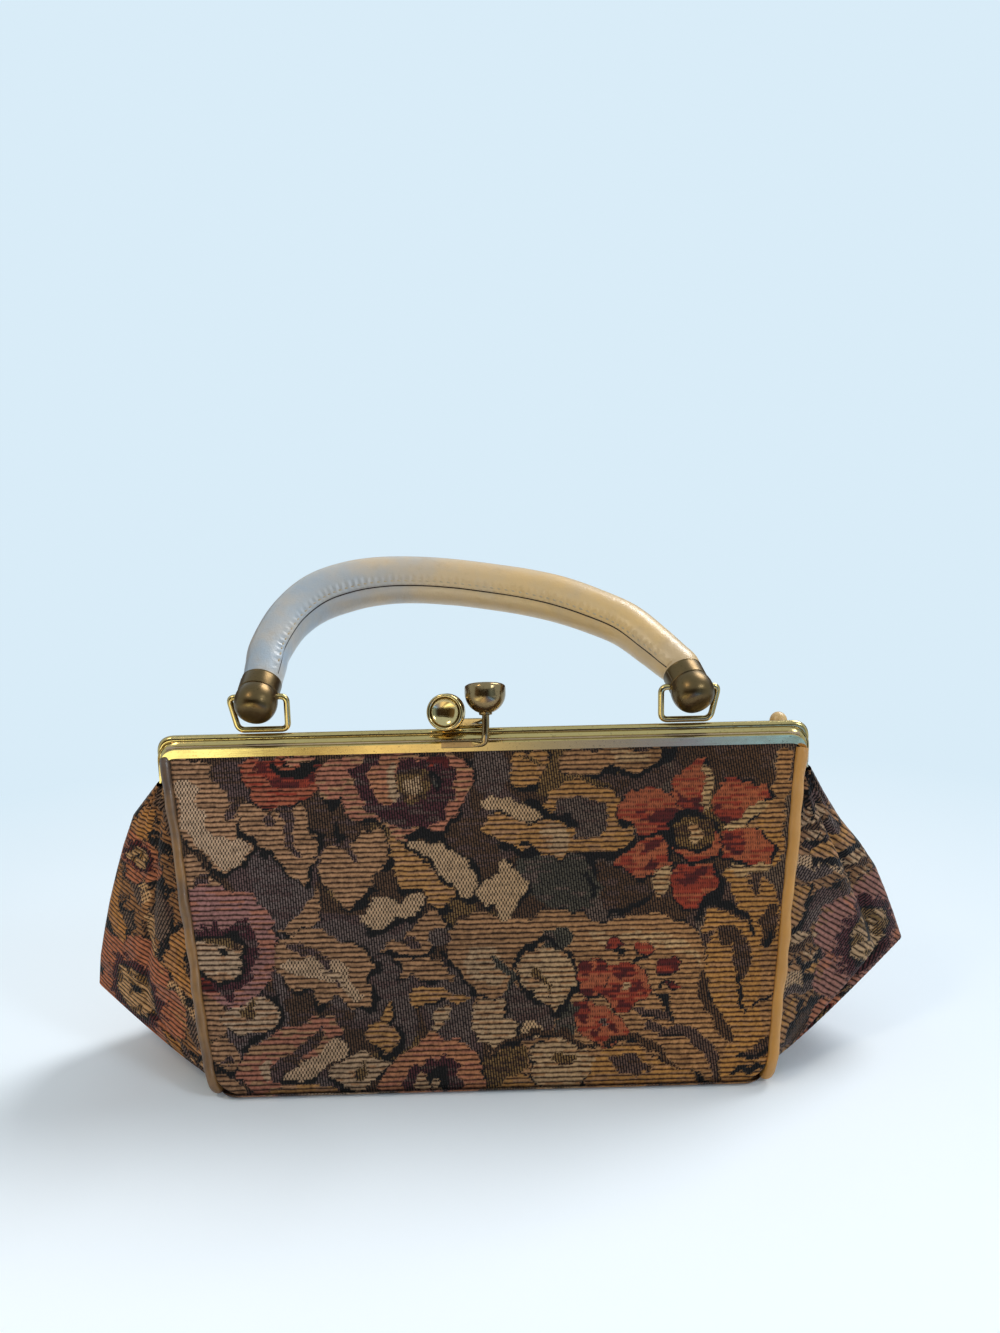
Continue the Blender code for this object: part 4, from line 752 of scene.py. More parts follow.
# Narrow curved shapes: threads, width, then lines as x, z, x, z and so on
STEMS = (
    ("ink", 3.2, (-27, 78, -22, 79, -17, 78, -12, 73)),
    ("ink", 1.8, (-17, 41, -10, 35, -6, 29, -1, 27)),
    ("ink", 2.6, (58, 98, 62, 101, 67, 105)),
    ("ink", 2.2, (8, 36, 12, 40, 19, 45, 24, 42)),
    ("teal", 2.4, (0, 40, 5, 36, 8, 32, 6, 28)),
    ("earth", 2.6, (0, 9, 8, 14, 18, 16, 24, 15, 30, 11, 36, 11)),
    ("earth", 2.8, (38, 11, 44, 14, 50, 13, 56, 9, 62, 3)),
    ("grey", 4.6, (52, 18, 58, 15, 66, 14, 72, 9, 75, 3, 75, -5)),
    ("grey", 3.4, (50, 21, 56, 21, 62, 19)),
    ("ink", 2.0, (55, 26, 59, 24, 62, 18)),
    ("earth", 4.4, (72, 32, 73, 24, 77, 17, 80, 11)),
    ("ink", 2.8, (70, 50, 75, 54, 82, 54, 87, 50, 89, 45)),
    ("ink", 1.6, (84, 31, 84, 25, 86, 20)),
    ("ink", 1.4, (88, 21, 92, 23, 96, 25)),
    ("ink", 2.4, (80, 1, 86, 3, 93, 2)),
    ("ink", 1.6, (83, 6, 90, 7, 96, 10)),
    ("ink", 2.2, (33, 71, 36, 68, 38, 64)),
    ("ink", 2.0, (33, 66, 35, 61, 36, 57),
     (40, 52, 48, 54, 56, 58)),
    ("ink", 1.4, (43, 41, 45, 39, 45, 37),
     (53, 39, 50, 37, 49, 35),
     (55, 28, 59, 30, 62, 30)),
    ("ink", 2.2, (-82, 11, -79, 15, -75, 18)),
    ("ink", 2.0, (-72, 30, -70, 24, -71, 18)),
    ("ink", 2.2, (-56, 90, -52, 88, -49, 90)),
    ("ink", 2.6, (-52, 84, -50, 79, -47, 78)),
    ("pale ribs", 2.0, (-58, 38, -52, 35, -47, 29)),
    ("olive", 1.4, (12, 103, 17, 102, 20, 101)),
    ("ink", 1.6, (12, 76, 16, 73, 20, 72)),
)


def weave_face(x, z, rib):
    """The floral pattern of the front and back panels."""
    cloth = Weaver(x, z, rib, 1)
    for threads, edge, *outlines in (*LEAVES, *RIGHT_SIDE, *LOWER):
        for outline in outlines:
            cloth.patch(threads, edge, outline)
    for threads, width, *lines in STEMS:
        for line in lines:
            cloth.stroke(threads, width, line)
    return cloth.done(1)


def weave_end(x, z, rib, seed):
    """The same cloth where it turns round a folded end: other parts of the pattern, on the slant."""
    cloth = Weaver(x, z, rib, seed)
    reach = float(np.max(np.abs(x))) + 10
    for column in np.arange(-reach, reach, 27):
        for level in np.arange(float(z.min()) - 20, float(z.max()) + 20, 30):
            px, pz = column + 5 * sin(level + seed), level + 6 * cos(column * 0.7 + seed)
            cloth.leaf((px - 4, pz + 2), (px + 18, pz + 17), 17, TAN_LEAF, 3, 2.4, INNER_BASKET)
            cloth.leaf((px + 12, pz - 12), (px + 24, pz + 4), 13, CREAM_LEAF, -3, 2.2)
            cloth.band([(px, pz - 12), (px + 8, pz - 4), (px + 8, pz + 8)], 8, (OCHRE, TAN), 2.2)
    return cloth


# shader helpers

class Nodes:
    """Short ways to place nodes in one tree."""

    def __init__(self, tree):
        self.tree, self.nodes, self.links = tree, tree.nodes, tree.links

    def add(self, kind, values=(), **settings):
        node = self.nodes.new(kind)
        for key, value in settings.items():
            setattr(node, key, value)
        for key, value in dict(values).items():
            self.set(node.inputs[key], value)
        return node

    def set(self, socket, value):
        if isinstance(value, bpy.types.NodeSocket):
            self.links.new(value, socket)
        elif socket.type == "RGBA" and len(value) == 3:
            socket.default_value = (*[float(v) for v in value], 1)
        else:
            socket.default_value = value

    def math(self, operation, a, b=0.0, c=0.0, clamp=False):
        node = self.add("ShaderNodeMath", operation=operation, use_clamp=clamp)
        for i, value in enumerate((a, b, c)):
            self.set(node.inputs[i], value)
        return node.outputs[0]

    def times(self, a, b):
        return self.math("MULTIPLY", a, b)

    def plus(self, a, b):
        return self.math("ADD", a, b)

    def times_add(self, a, b, c):
        return self.math("MULTIPLY_ADD", a, b, c)

    def mix(self, factor, a, b, blend="MIX"):
        node = self.add("ShaderNodeMix", data_type="RGBA", blend_type=blend, clamp_result=True)
        self.set(node.inputs[0], factor)
        self.set(node.inputs[6], a)
        self.set(node.inputs[7], b)
        return node.outputs[2]

    def range(self, value, low, high, to_low=0.0, to_high=1.0):
        node = self.add("ShaderNodeMapRange", clamp=True)
        for i, v in enumerate((value, low, high, to_low, to_high)):
            self.set(node.inputs[i], v)
        return node.outputs[0]

    def noise(self, vector, scale, detail=3.0, roughness=0.5):
        node = self.add("ShaderNodeTexNoise", {"Scale": scale, "Detail": detail, "Roughness": roughness})
        self.set(node.inputs["Vector"], vector)
        return node.outputs["Fac"]

    def group(self, group, **values):
        node = self.add("ShaderNodeGroup", node_tree=group)
        for key, value in values.items():
            self.set(node.inputs[key.replace("_", " ")], value)
        return node


def new_group(name, inputs, outputs):
    """A shader node group with named inputs and outputs."""
    tree = bpy.data.node_groups.new(name, "ShaderNodeTree")
    for label, kind, value in inputs:
        socket = tree.interface.new_socket(name=label, in_out="INPUT", socket_type=kind)
        if value is not None:
            socket.default_value = value
    for label, kind in outputs:
        tree.interface.new_socket(name=label, in_out="OUTPUT", socket_type=kind)
    n = Nodes(tree)
    return n, n.add("NodeGroupInput"), n.add("NodeGroupOutput")


def new_material(name, **values):
    """A material, with values for its shader's sockets by their names."""
    look = bpy.data.materials.new(name)
    look.use_nodes = True
    n = Nodes(look.node_tree)
    shader = n.nodes["Principled BSDF"]
    for key, value in values.items():
        shader.inputs[key.replace("_", " ")].default_value = value
    return look, n, shader


def dimmed(colour, share):
    return tuple(share * c for c in colour)


FLOAT, COLOUR, VECTOR = "NodeSocketFloat", "NodeSocketColor", "NodeSocketVector"


# Painted shade and highlight on the weave: how dark the gaps between threads are painted, partly the darker
# threads there and partly shade, and how much lighter the ribs and the ground are painted where they catch
# the light
GAP_SHADE, RIB_HIGHLIGHT, GROUND_HIGHLIGHT = (0.09, 0.065, 0.05), (1.46, 1.44, 1.42), (1.7, 1.66, 1.62)


def weave_group():
    """Ribs, basket dots, warp dashes or a fine grid, by the woven kind, as colour and height; the colour is
    painted darker in the gaps and lighter on raised threads, as shade and highlight.
    """
    n, given, made = new_group(
        "Tapestry weave",
        [("Place", VECTOR, None), ("Colour", COLOUR, None), ("Kind", FLOAT, 0.0), ("Rib", FLOAT, 0.00166)],
        [("Colour", COLOUR), ("Height", FLOAT)],
    )
    place, thread = given.outputs["Place"], given.outputs["Colour"]
    split = n.add("ShaderNodeSeparateXYZ", {"Vector": place})
    u = n.math("DIVIDE", split.outputs[0], given.outputs["Rib"])
    v = n.math("DIVIDE", split.outputs[1], given.outputs["Rib"])
    wander = n.noise(place, 260, 2)
    v = n.times_add(n.math("SUBTRACT", wander, 0.5), 0.5, v)

    def wave(value, power):
        rise = n.math("ABSOLUTE", n.math("SINE", n.times(value, pi)))
        return n.math("POWER", rise, power)

    ribs = wave(v, 0.8)
    twist = wave(n.times_add(v, 0.8, n.times(u, 2.9)), 0.6)
    ribs = n.times(ribs, n.range(twist, 0, 1, 0.8, 1))
    lean = n.times_add(v, 0.18, n.times(u, 1.75))
    dash = wave(n.times_add(n.math("FLOOR", lean), 0.37, n.times(v, 0.8)), 0.6)
    ground = n.times(wave(lean, 1.5), n.range(dash, 0.1, 0.6, 0.1, 1))
    row = n.times(v, 1.65)
    dots = wave(n.times_add(n.math("FLOOR", row), 0.5, n.times(u, 1.35)), 1.0)
    basket = n.math("MAXIMUM", n.range(dots, 0.25, 0.7), n.range(wave(row, 1), 0.9, 0.4, 0.0, 0.35))
    fine = n.math("MAXIMUM", wave(n.times(u, 2.0), 0.7), n.times(wave(v, 0.7), 0.9))
    kind = given.outputs["Kind"]

    def near(value):
        return n.math("LESS_THAN", n.math("ABSOLUTE", n.math("SUBTRACT", kind, value)), 0.5)

    height = n.times(near(0.0), ribs)
    for value, pattern in ((1.0, basket), (2.0, ground), (3.0, fine)):
        height = n.times_add(near(value), pattern, height)
    grey = n.noise(place, 900, 2)
    height = n.times(height, n.range(grey, 0.3, 0.7, 0.7, 1.12))
    # Painted shade in the gaps and painted highlight on the raised threads, by the weave's height
    dark = n.mix(1.0, thread, GAP_SHADE, "MULTIPLY")
    lit = n.mix(1.0, thread, RIB_HIGHLIGHT, "MULTIPLY")
    fray = n.noise(place, 520, 3, 0.6)
    depth = n.plus(height, n.range(fray, 0.3, 0.7, -0.16, 0.20))
    lit = n.mix(near(2.0), lit, n.mix(1.0, thread, GROUND_HIGHLIGHT, "MULTIPLY"))
    colour = n.mix(n.range(depth, 0.22, 0.92), dark, lit)
    n.set(made.inputs["Colour"], colour)
    n.set(made.inputs["Height"], height)
    return n.tree


def wear_group():
    """Soft blotches, fine specks and fine scratches, as masks."""
    n, given, made = new_group(
        "Age and wear",
        [("Place", VECTOR, None), ("Blotch size", FLOAT, 60.0), ("Speck size", FLOAT, 900.0)],
        [("Blotch", FLOAT), ("Speck", FLOAT), ("Scratch", FLOAT)],
    )
    blotch = n.noise(given.outputs["Place"], given.outputs["Blotch size"], 4, 0.6)
    speck = n.noise(given.outputs["Place"], given.outputs["Speck size"], 2)
    long = n.add("ShaderNodeMapping", {"Vector": given.outputs["Place"], "Scale": (90, 1600, 1600)})
    scratch = n.noise(long.outputs[0], 1.0, 3, 0.7)
    n.set(made.inputs["Blotch"], n.range(blotch, 0.38, 0.64))
    n.set(made.inputs["Speck"], n.range(speck, 0.62, 0.75))
    n.set(made.inputs["Scratch"], n.range(scratch, 0.42, 0.68))
    return n.tree


def grain_group():
    """Leather grain: small cells with fine creases between them, as height."""
    n, given, made = new_group(
        "Leather grain",
        [("Place", VECTOR, None), ("Scale", FLOAT, 1500.0)],
        [("Height", FLOAT), ("Crease", FLOAT)],
    )
    cells = n.add("ShaderNodeTexVoronoi", {"Vector": given.outputs["Place"], "Scale": given.outputs["Scale"]})
    soft = n.noise(given.outputs["Place"], 420, 3)
    crease = n.range(n.noise(given.outputs["Place"], 170, 5, 0.65), 0.55, 0.72)
    height = n.times_add(cells.outputs["Distance"], -0.5, soft)
    n.set(made.inputs["Height"], height)
    n.set(made.inputs["Crease"], crease)
    return n.tree


def place_of(n):
    return n.add("ShaderNodeTexCoord").outputs["Object"]


def seen_ray(n):
    """The rays that see the backdrop: the camera's, and those off metal and through glass."""
    path = n.add("ShaderNodeLightPath")
    clear = n.math("MAXIMUM", path.outputs["Is Camera Ray"], path.outputs["Is Transmission Ray"])
    return n.math("MAXIMUM", clear, path.outputs["Is Glossy Ray"])


def bump(n, shader, height, strength, distance):
    node = n.add("ShaderNodeBump", {"Strength": strength, "Distance": distance, "Height": height})
    n.set(shader.inputs["Normal"], node.outputs["Normal"])
    return node


def tapestry_material(weave):
    look, n, shader = new_material(
        "Floral tapestry", Specular_IOR_Level=0.28, Sheen_Weight=0.12, Sheen_Roughness=0.4
    )
    place = n.add("ShaderNodeUVMap", uv_map="cloth").outputs["UV"]
    colour = n.add("ShaderNodeAttribute", attribute_name="woven_colour").outputs["Color"]
    kind = n.add("ShaderNodeAttribute", attribute_name="woven_kind").outputs["Fac"]
    woven = n.group(weave, Place=place, Colour=colour, Kind=kind)
    woven.inputs["Rib"].default_value = bpy.context.scene.bag_cloth.rib
    n.set(shader.inputs["Base Color"], woven.outputs["Colour"])
    n.set(shader.inputs["Roughness"], n.range(woven.outputs["Height"], 0, 1, 0.95, 0.72))
    bump(n, shader, woven.outputs["Height"], 0.9, 0.00035)
    return look


def leather_material(name, light, warm, grain, wear, coat=0.25, roughness=0.36):
    look, n, shader = new_material(name, Coat_Weight=coat, Coat_Roughness=0.28, Specular_IOR_Level=0.5)
    place = place_of(n)
    grained = n.group(grain, Place=place)
    worn = n.group(wear, Place=place, Blotch_size=38.0, Speck_size=700.0)
    split = n.add("ShaderNodeSeparateXYZ", {"Vector": place})
    # Towards the left the colour turns to the second tint: on the grip this is painted cool window light on
    # the left leg, on the welts a darker, greyer tone
    left_share = n.range(split.outputs[0], 0.03, -0.075)
    left_share = n.times(left_share, n.range(worn.outputs["Blotch"], 0, 1, 0.55, 1.0))
    colour = n.mix(left_share, light, warm)
    colour = n.mix(n.times(worn.outputs["Blotch"], 0.25), colour, dimmed(warm, 0.72))
    colour = n.mix(n.times(grained.outputs["Crease"], 0.22), colour, dimmed(light, 0.5))
    n.set(shader.inputs["Base Color"], colour)
    rough = n.range(grained.outputs["Height"], 0.1, 0.6, roughness - 0.08, roughness + 0.16)
    n.set(shader.inputs["Roughness"], rough)
    bump(n, shader, grained.outputs["Height"], 0.6, 0.0002)
    return look


def metal_material(name, colour, wear, tarnish, roughness, patina, scratch=0.06):
    look, n, shader = new_material(name, Metallic=1.0)
    place = place_of(n)
    worn = n.group(wear, Place=place, Blotch_size=85.0, Speck_size=1300.0)
    tinted = n.mix(n.times(worn.outputs["Blotch"], patina), colour, tarnish)
    tinted = n.mix(n.times(worn.outputs["Speck"], 0.55), tinted, dimmed(tarnish, 0.3))
    n.set(shader.inputs["Base Color"], tinted)
    rough = n.times_add(worn.outputs["Blotch"], 0.10, roughness)
    rough = n.times_add(worn.outputs["Scratch"], scratch, rough)
    n.set(shader.inputs["Roughness"], rough)
    bump(n, shader, n.plus(worn.outputs["Scratch"], worn.outputs["Speck"]), 0.10, 0.00006)
    return look


def cloth_material(name, colour, roughness, sheen, scale=3200.0):
    """Plain woven satin or twill."""
    look, n, shader = new_material(name, Sheen_Weight=sheen)
    place = place_of(n)
    split = n.add("ShaderNodeSeparateXYZ", {"Vector": place})
    across = n.math("SINE", n.times(n.plus(split.outputs[0], split.outputs[1]), scale * 2))
    up = n.math("SINE", n.times(split.outputs[2], scale * 2))
    height = n.times(across, up)
    slow = n.noise(place, 32, 4)
    tone = n.mix(n.range(slow, 0.35, 0.7), dimmed(colour, 0.72), colour)
    tone = n.mix(n.range(height, -1, 1, 0.0, 0.3), tone, dimmed(colour, 0.55))
    n.set(shader.inputs["Base Color"], tone)
    n.set(shader.inputs["Roughness"], n.range(slow, 0.3, 0.7, roughness - 0.06, roughness + 0.08))
    bump(n, shader, height, 0.25, 0.00005)
    return look


# The last of these is a darker copy of the clasp brass for the front cup and its strip: painted dark
# reflection
TARNISH, CAP_TARNISH, CLASP_PAINTED_DARK = (0.20, 0.13, 0.055), (0.12, 0.085, 0.035), (0.27, 0.185, 0.09)
# The second is the colour of the tube in the grip's lap seam: painted shade
CARD_BROWN, SEAM_SHADOW = (0.42, 0.33, 0.22), (0.035, 0.022, 0.015)


def build_looks():
    """Every material of the bag, by its maker's name."""
    scene = bpy.context.scene
    leather, metal, cloth = scene.bag_leather, scene.bag_metal, scene.bag_cloth
    weave, wear, grain = weave_group(), wear_group(), grain_group()
    return {
        "tapestry": tapestry_material(weave),
        "leather": leather_material("Cream leather", leather.light, leather.warm, grain, wear),
        "piping": leather_material(
            "Piping leather", leather.piping, leather.piping_left_tone, grain, wear, 0.1
        ),
        "frame": metal_material("Frame brass", metal.frame_colour, wear, TARNISH, 0.085, 0.13),
        "clasp": metal_material("Clasp brass", metal.clasp_colour, wear, TARNISH, 0.09, 0.2),
        # The front cup and its strip: the clasp brass painted darker, as painted dark reflection
        "cup": metal_material("Clasp brass painted dark", CLASP_PAINTED_DARK, wear, TARNISH, 0.12, 0.2),
        "cap": metal_material("Cap brass", metal.cap_colour, wear, CAP_TARNISH, 0.26, 0.25),
        "lining": cloth_material("Satin lining", cloth.lining, 0.5, 0.15),
        "card": cloth_material("Stiffening card", CARD_BROWN, 0.9, 0.0, 900.0),
        "thread": cloth_material("Stitching thread", leather.thread, 0.7, 0.1, 9000.0),
        "seam": cloth_material("Seam shadow cloth", SEAM_SHADOW, 0.95, 0.0),
    }


LOOKS = {}


# the bag's lines

def half_length(v):
    return BASE_HALF + (TOP_HALF - BASE_HALF) * v


def corner_cut(v, radius=9.5 * MM):
    """How much narrower a panel is near its rounded foot."""
    h = np.clip(v * PANEL_HEIGHT + 2.0 * MM, 0, radius)
    return radius - np.sqrt(np.maximum(radius**2 - (radius - h) ** 2, 0))


def plane_y(v):
    return FOLD_Y + (SEAT_Y - FOLD_Y) * v


def panel_place(side, x, v, out):
    """A place over a panel's middle plane: x across, v up from 0 to 1, out from the plane."""
    return np.stack([
        x,
        side * (plane_y(v) + out * cos(PANEL_LEAN)),
        FOLD_Z + PANEL_HEIGHT * v + out * sin(PANEL_LEAN),
    ], axis=-1)


def rest_on(obj, body, slot, *nodes):
    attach(obj, body)
    if nodes:
        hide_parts(*nodes)
    return obj


# operators

# Each soft lamp's place, width and colour, and what they point at
WINDOW = ((0.75, -0.62, 0.72), 0.30, (0.80, 0.90, 1.0))
LAMP = ((-0.55, -0.45, 0.95), 0.22, (1.0, 0.84, 0.62))
AIM = (0, 0, 0.08)
SUN_WAY, SUN_SPREAD = (-0.48, -0.47, -0.74), radians(26)
FLOOR_RINGS, FLOOR_Z, SIDES = (0.3, 0.7, 1.5, 4.0, 40.0), -0.0002, 96
# The camera that the photograph was fitted with
CAMERA_PLACE, FOCAL_PIXELS, PHOTO_HEIGHT, SENSOR = (0.0018, -0.4219, 0.2270), 1250, 1333, 36
PITCH, YAW, ROLL = radians(12), radians(0.60), radians(-1.27)
# Tones of the glowing cards, each from its place along the card
ROOM_TONES = (
    (0.0, (0.30, 0.22, 0.12)), (0.25, (0.05, 0.035, 0.02)), (0.62, (0.045, 0.035, 0.03)),
    (0.80, (0.35, 0.5, 0.62)), (1.0, (0.12, 0.14, 0.15)),
)
BACK_TONES = ((0.0, (0.16, 0.13, 0.10)), (1.0, (0.10, 0.07, 0.05)))
TABLE_TONES = (
    (0.10, (1.5, 1.3, 0.8)), (0.22, (2.9, 3.2, 2.4)), (0.29, (2.9, 3.1, 2.3)), (0.325, (0.42, 0.34, 0.20)),
    (0.36, (0.45, 0.36, 0.22)), (0.39, (1.7, 1.5, 1.1)), (0.45, (1.7, 1.5, 1.1)), (0.53, (0.6, 0.62, 0.7)),
    (0.66, (0.34, 0.42, 1.1)), (0.76, (0.6, 1.4, 3.4)), (0.80, (0.2, 0.3, 0.4)),
)


class BAG_OT_stage(bpy.types.Operator):
    """Floor, pale backdrop, soft lamps and the photograph's camera"""
    bl_idname = "bag.stage"
    bl_label = "Stage"

    def execute(self, context):
        scene, stage = context.scene, context.scene.bag_stage
        scene.view_settings.view_transform = "Standard"
        self.floor(stage)
        scene.world = self.world(stage)
        self.lamp("window", stage.window, *WINDOW)
        self.lamp("lamp", stage.lamp, *LAMP)
        sun = bpy.data.lights.new("top light", "SUN")
        sun.energy, sun.angle = stage.sun, SUN_SPREAD
        above = bpy.data.objects.new("top light", sun)
        above.rotation_euler = Vector(SUN_WAY).to_track_quat("-Z", "Y").to_euler()
        scene.collection.objects.link(above)
        for card in self.cards():
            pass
        self.camera(scene)
        return {"FINISHED"}

    def floor(self, stage):
        """A wide floor: lit and shadowed near the bag, and one with the backdrop far off."""
        verts, faces = [(0, 0, FLOOR_Z)], []
        for r in FLOOR_RINGS:
            verts += [(r * cos(a), r * sin(a), FLOOR_Z) for a in turns(SIDES)]
        faces += [(0, 1 + i, 1 + (i + 1) % SIDES) for i in range(SIDES)]
        for ring in range(len(FLOOR_RINGS) - 1):
            a, b = 1 + ring * SIDES, 1 + (ring + 1) * SIDES
            faces += [(a + i, b + i, b + (i + 1) % SIDES, a + (i + 1) % SIDES) for i in range(SIDES)]
        look, n, shader = new_material("Pale floor", Roughness=0.8, Specular_IOR_Level=0.1)
        place = place_of(n)
        split = n.add("ShaderNodeSeparateXYZ", {"Vector": place})
        ahead = n.plus(split.outputs[1], 0.1)
        squares = [n.math("POWER", value, 2.0) for value in (split.outputs[0], ahead)]
        far = n.math("SQRT", n.plus(*squares))
        fade = n.range(far, 0.14, 0.50)
        dust = n.noise(place, 3.0, 2)
        near = n.mix(dust, dimmed(stage.near, 0.97), stage.near)
        n.set(shader.inputs["Base Color"], near)
        glow = n.add("ShaderNodeEmission", {"Color": stage.far, "Strength": 1.0})
        lift = n.add("ShaderNodeEmission", {"Color": stage.near, "Strength": 0.07})
        seen = seen_ray(n)
        lifted = n.add("ShaderNodeAddShader", {0: shader.outputs[0], 1: lift.outputs[0]})
        shown = n.add("ShaderNodeMixShader", {0: fade, 1: lifted.outputs[0], 2: glow.outputs[0]})
        last = n.add("ShaderNodeMixShader", {0: seen, 1: shader.outputs[0], 2: shown.outputs[0]})
        n.set(n.nodes["Material Output"].inputs[0], last.outputs[0])
        return finish_mesh("floor", verts, faces, look, smooth=False)

    def world(self, stage):
        """Pale backdrop for the eye and for metal, and soft even light for the rest."""
        world = bpy.data.worlds.new("Studio")
        world.use_nodes = True
        n = Nodes(world.node_tree)
        for node in list(n.nodes):
            n.nodes.remove(node)
        backdrop = n.add("ShaderNodeBackground", {"Color": stage.far, "Strength": 1.0})
        diffuse = n.add("ShaderNodeBackground", {"Color": (0.96, 0.98, 1.0), "Strength": stage.sky})
        seen = seen_ray(n)
        last = n.add("ShaderNodeMixShader", {0: seen, 1: diffuse.outputs[0], 2: backdrop.outputs[0]})
        n.set(n.add("ShaderNodeOutputWorld").inputs[0], last.outputs[0])
        return world

    def lamp(self, name, power, where, size, colour):
        data = bpy.data.lights.new(name, "AREA")
        data.shape, data.size, data.energy, data.color = "DISK", size, power, colour
        obj = bpy.data.objects.new(name, data)
        obj.location = where
        obj.rotation_euler = (Vector(AIM) - Vector(where)).to_track_quat("-Z", "Y").to_euler()
        bpy.context.scene.collection.objects.link(obj)

    def cards(self):
        """Cards round the camera that only metal and leather sheen see: a dark room, and a table in bands."""
        return [
            self.card("room card", 0.95, (0.0, 0.62), (-150, -30), ROOM_TONES),
            self.card("back card", 1.10, (0.0, 0.42), (20, 160), BACK_TONES),
            self.card("table card", 0.0, (-0.85, -0.16), (-0.42, 0.42), TABLE_TONES),
        ]

    def card(self, name, radius, rise, span, tones):
        """A glowing card in bands of tones: a wall round the bag, or with no radius a strip on the floor."""
        look = bpy.data.materials.new(name)
        look.use_nodes = True
        n = Nodes(look.node_tree)
        n.nodes.clear()
        split = n.add("ShaderNodeSeparateXYZ", {"Vector": place_of(n)})
        reach = radius or span[1]
        ramp = n.add("ShaderNodeValToRGB", {"Fac": n.range(split.outputs[0], -reach, reach)})
        bands = ramp.color_ramp
        for at, _ in tones[1:-1]:
            bands.elements.new(at)
        for element, (at, tone) in zip(bands.elements, tones):
            element.position, element.color = at, (*(0.25 * c for c in tone), 1)
        glow = n.add("ShaderNodeEmission", {"Color": ramp.outputs[0], "Strength": 4.0})
        n.set(n.add("ShaderNodeOutputMaterial").inputs[0], glow.outputs[0])
        if radius:
            bearings = np.linspace(radians(span[0]), radians(span[1]), 25)
            verts = [(radius * cos(a), radius * sin(a), z) for a in bearings for z in rise]
        else:
            verts = [(x, y, 0.001) for x in np.linspace(*span, 25) for y in rise]
        obj = finish_mesh(name, verts, grid_faces(25, 2), look, smooth=False)
        obj.visible_camera = obj.visible_diffuse = obj.visible_shadow = False
        obj.visible_transmission = obj.visible_volume_scatter = False
        return obj

    def camera(self, scene):
        ahead = Vector((sin(YAW) * cos(PITCH), cos(YAW) * cos(PITCH), -sin(PITCH)))
        level = Vector((cos(YAW), -sin(YAW), 0))
        upright = level.cross(ahead)
        right = level * cos(ROLL) + upright * sin(ROLL)
        over = -level * sin(ROLL) + upright * cos(ROLL)
        data = bpy.data.cameras.new("camera")
        data.sensor_width, data.lens, data.clip_start = SENSOR, FOCAL_PIXELS * SENSOR / PHOTO_HEIGHT, 0.01
        camera = bpy.data.objects.new("camera", data)
        turned = Matrix((right, over, -ahead)).transposed().to_4x4()
        camera.matrix_world = Matrix.Translation(CAMERA_PLACE) @ turned
        scene.collection.objects.link(camera)
        scene.camera = camera


# Shares of the panel's height where its cloth starts and stops, and its points across
CLOTH_FOOT, CLOTH_HEAD, CLOTH_COLUMNS = -0.018, 1.017, 360
BASE_CORNER = 6 * MM


class BAG_OT_panels(bpy.types.Operator):
    """Front, back and base of woven tapestry, crowned and rolled under at the foot"""
    bl_idname = "bag.panels"
    bl_label = "Tapestry panels"

    def execute(self, context):
        cloth = context.scene.bag_cloth
        rib = cloth.rib
        for side in (FRONT, BACK):
            rows = int(PANEL_HEIGHT * 1.035 / (rib / 4))
            v = np.linspace(CLOTH_FOOT, CLOTH_HEAD, rows)[:, None]
            u = np.linspace(-1, 1, CLOTH_COLUMNS)[None]
            edge = half_length(v) - corner_cut(v) + 0.9 * MM
            x = u * edge
            v = np.broadcast_to(v, x.shape)
            inner = share_of(v)
            crown = cloth.crown * (1 - np.abs(u) ** 2.2) ** 0.7 * np.sin(pi * inner) ** 0.75
            soft = value_noise(x / MM, v * PANEL_HEIGHT / MM, 26, 3) - 0.5
            ripple = 0.5 * MM * soft * np.sin(pi * inner) ** 0.5
            under_frame = share_of((v - 0.86) / 0.14) * (1 - np.abs(u) ** 8)
            pucker = 0.22 * MM * np.sin(x / (4.6 * MM)) * under_frame
            ribs = cloth.relief * (np.abs(np.sin(pi * v * PANEL_HEIGHT / rib)) ** 0.6 - 0.6)
            roll = 2.3 * MM * share_of(1 - (v - CLOTH_FOOT) / 0.05) ** 2
            turned = 1.3 * MM * share_of((np.abs(u) - 0.985) / 0.015) ** 2
            out = PANEL_HALF_THICK + crown + ripple + pucker + ribs - roll - turned
            points = panel_place(side, x, v, out)
            face = weave_face(x / MM * (1 if side == FRONT else -1), v * PANEL_HEIGHT / MM, rib / MM)
            uv = np.stack([x, v * PANEL_HEIGHT], axis=-1)
            word = SIDE_WORD[side]
            obj = sheet(f"tapestry_{word}", points, LOOKS["tapestry"], uv, *face, flip=side == BACK)
            rest_on(obj, f"{word}_side", "tapestry", f"{word}_panel")
        self.base(rib)
        return {"FINISHED"}

    def base(self, rib):
        """The base cloth: flat below, turned up round its edge."""
        _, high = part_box("base_panel")
        x = np.linspace(-1, 1, 200)[None]
        y = np.linspace(-1, 1, 120)[:, None]
        x, y = np.broadcast_arrays(x * high.x, y * high.y)
        radius = BASE_CORNER
        dx = np.maximum(np.abs(x) - (high.x - radius), 0)
        dy = np.maximum(np.abs(y) - (high.y - radius), 0)
        far = np.hypot(dx, dy)
        pull = np.where(far > radius, radius / np.maximum(far, 1e-9), 1)
        px = np.sign(x) * (np.minimum(np.abs(x), high.x - radius) + dx * pull)
        py = np.sign(y) * (np.minimum(np.abs(y), high.y - radius) + dy * pull)
        near = share_of((np.minimum(far, radius) - radius * 0.55) / (radius * 0.45))
        z = 0.1 * MM + 1.9 * MM * near**2.4
        points = np.stack([px, py, z], axis=-1)
        face = weave_face(x / MM, y / MM + 50, rib / MM)
        obj = sheet("tapestry_base", points, LOOKS["tapestry"], np.stack([x, y], axis=-1), *face, flip=True)
        rest_on(obj, "root", "tapestry", "base_panel")


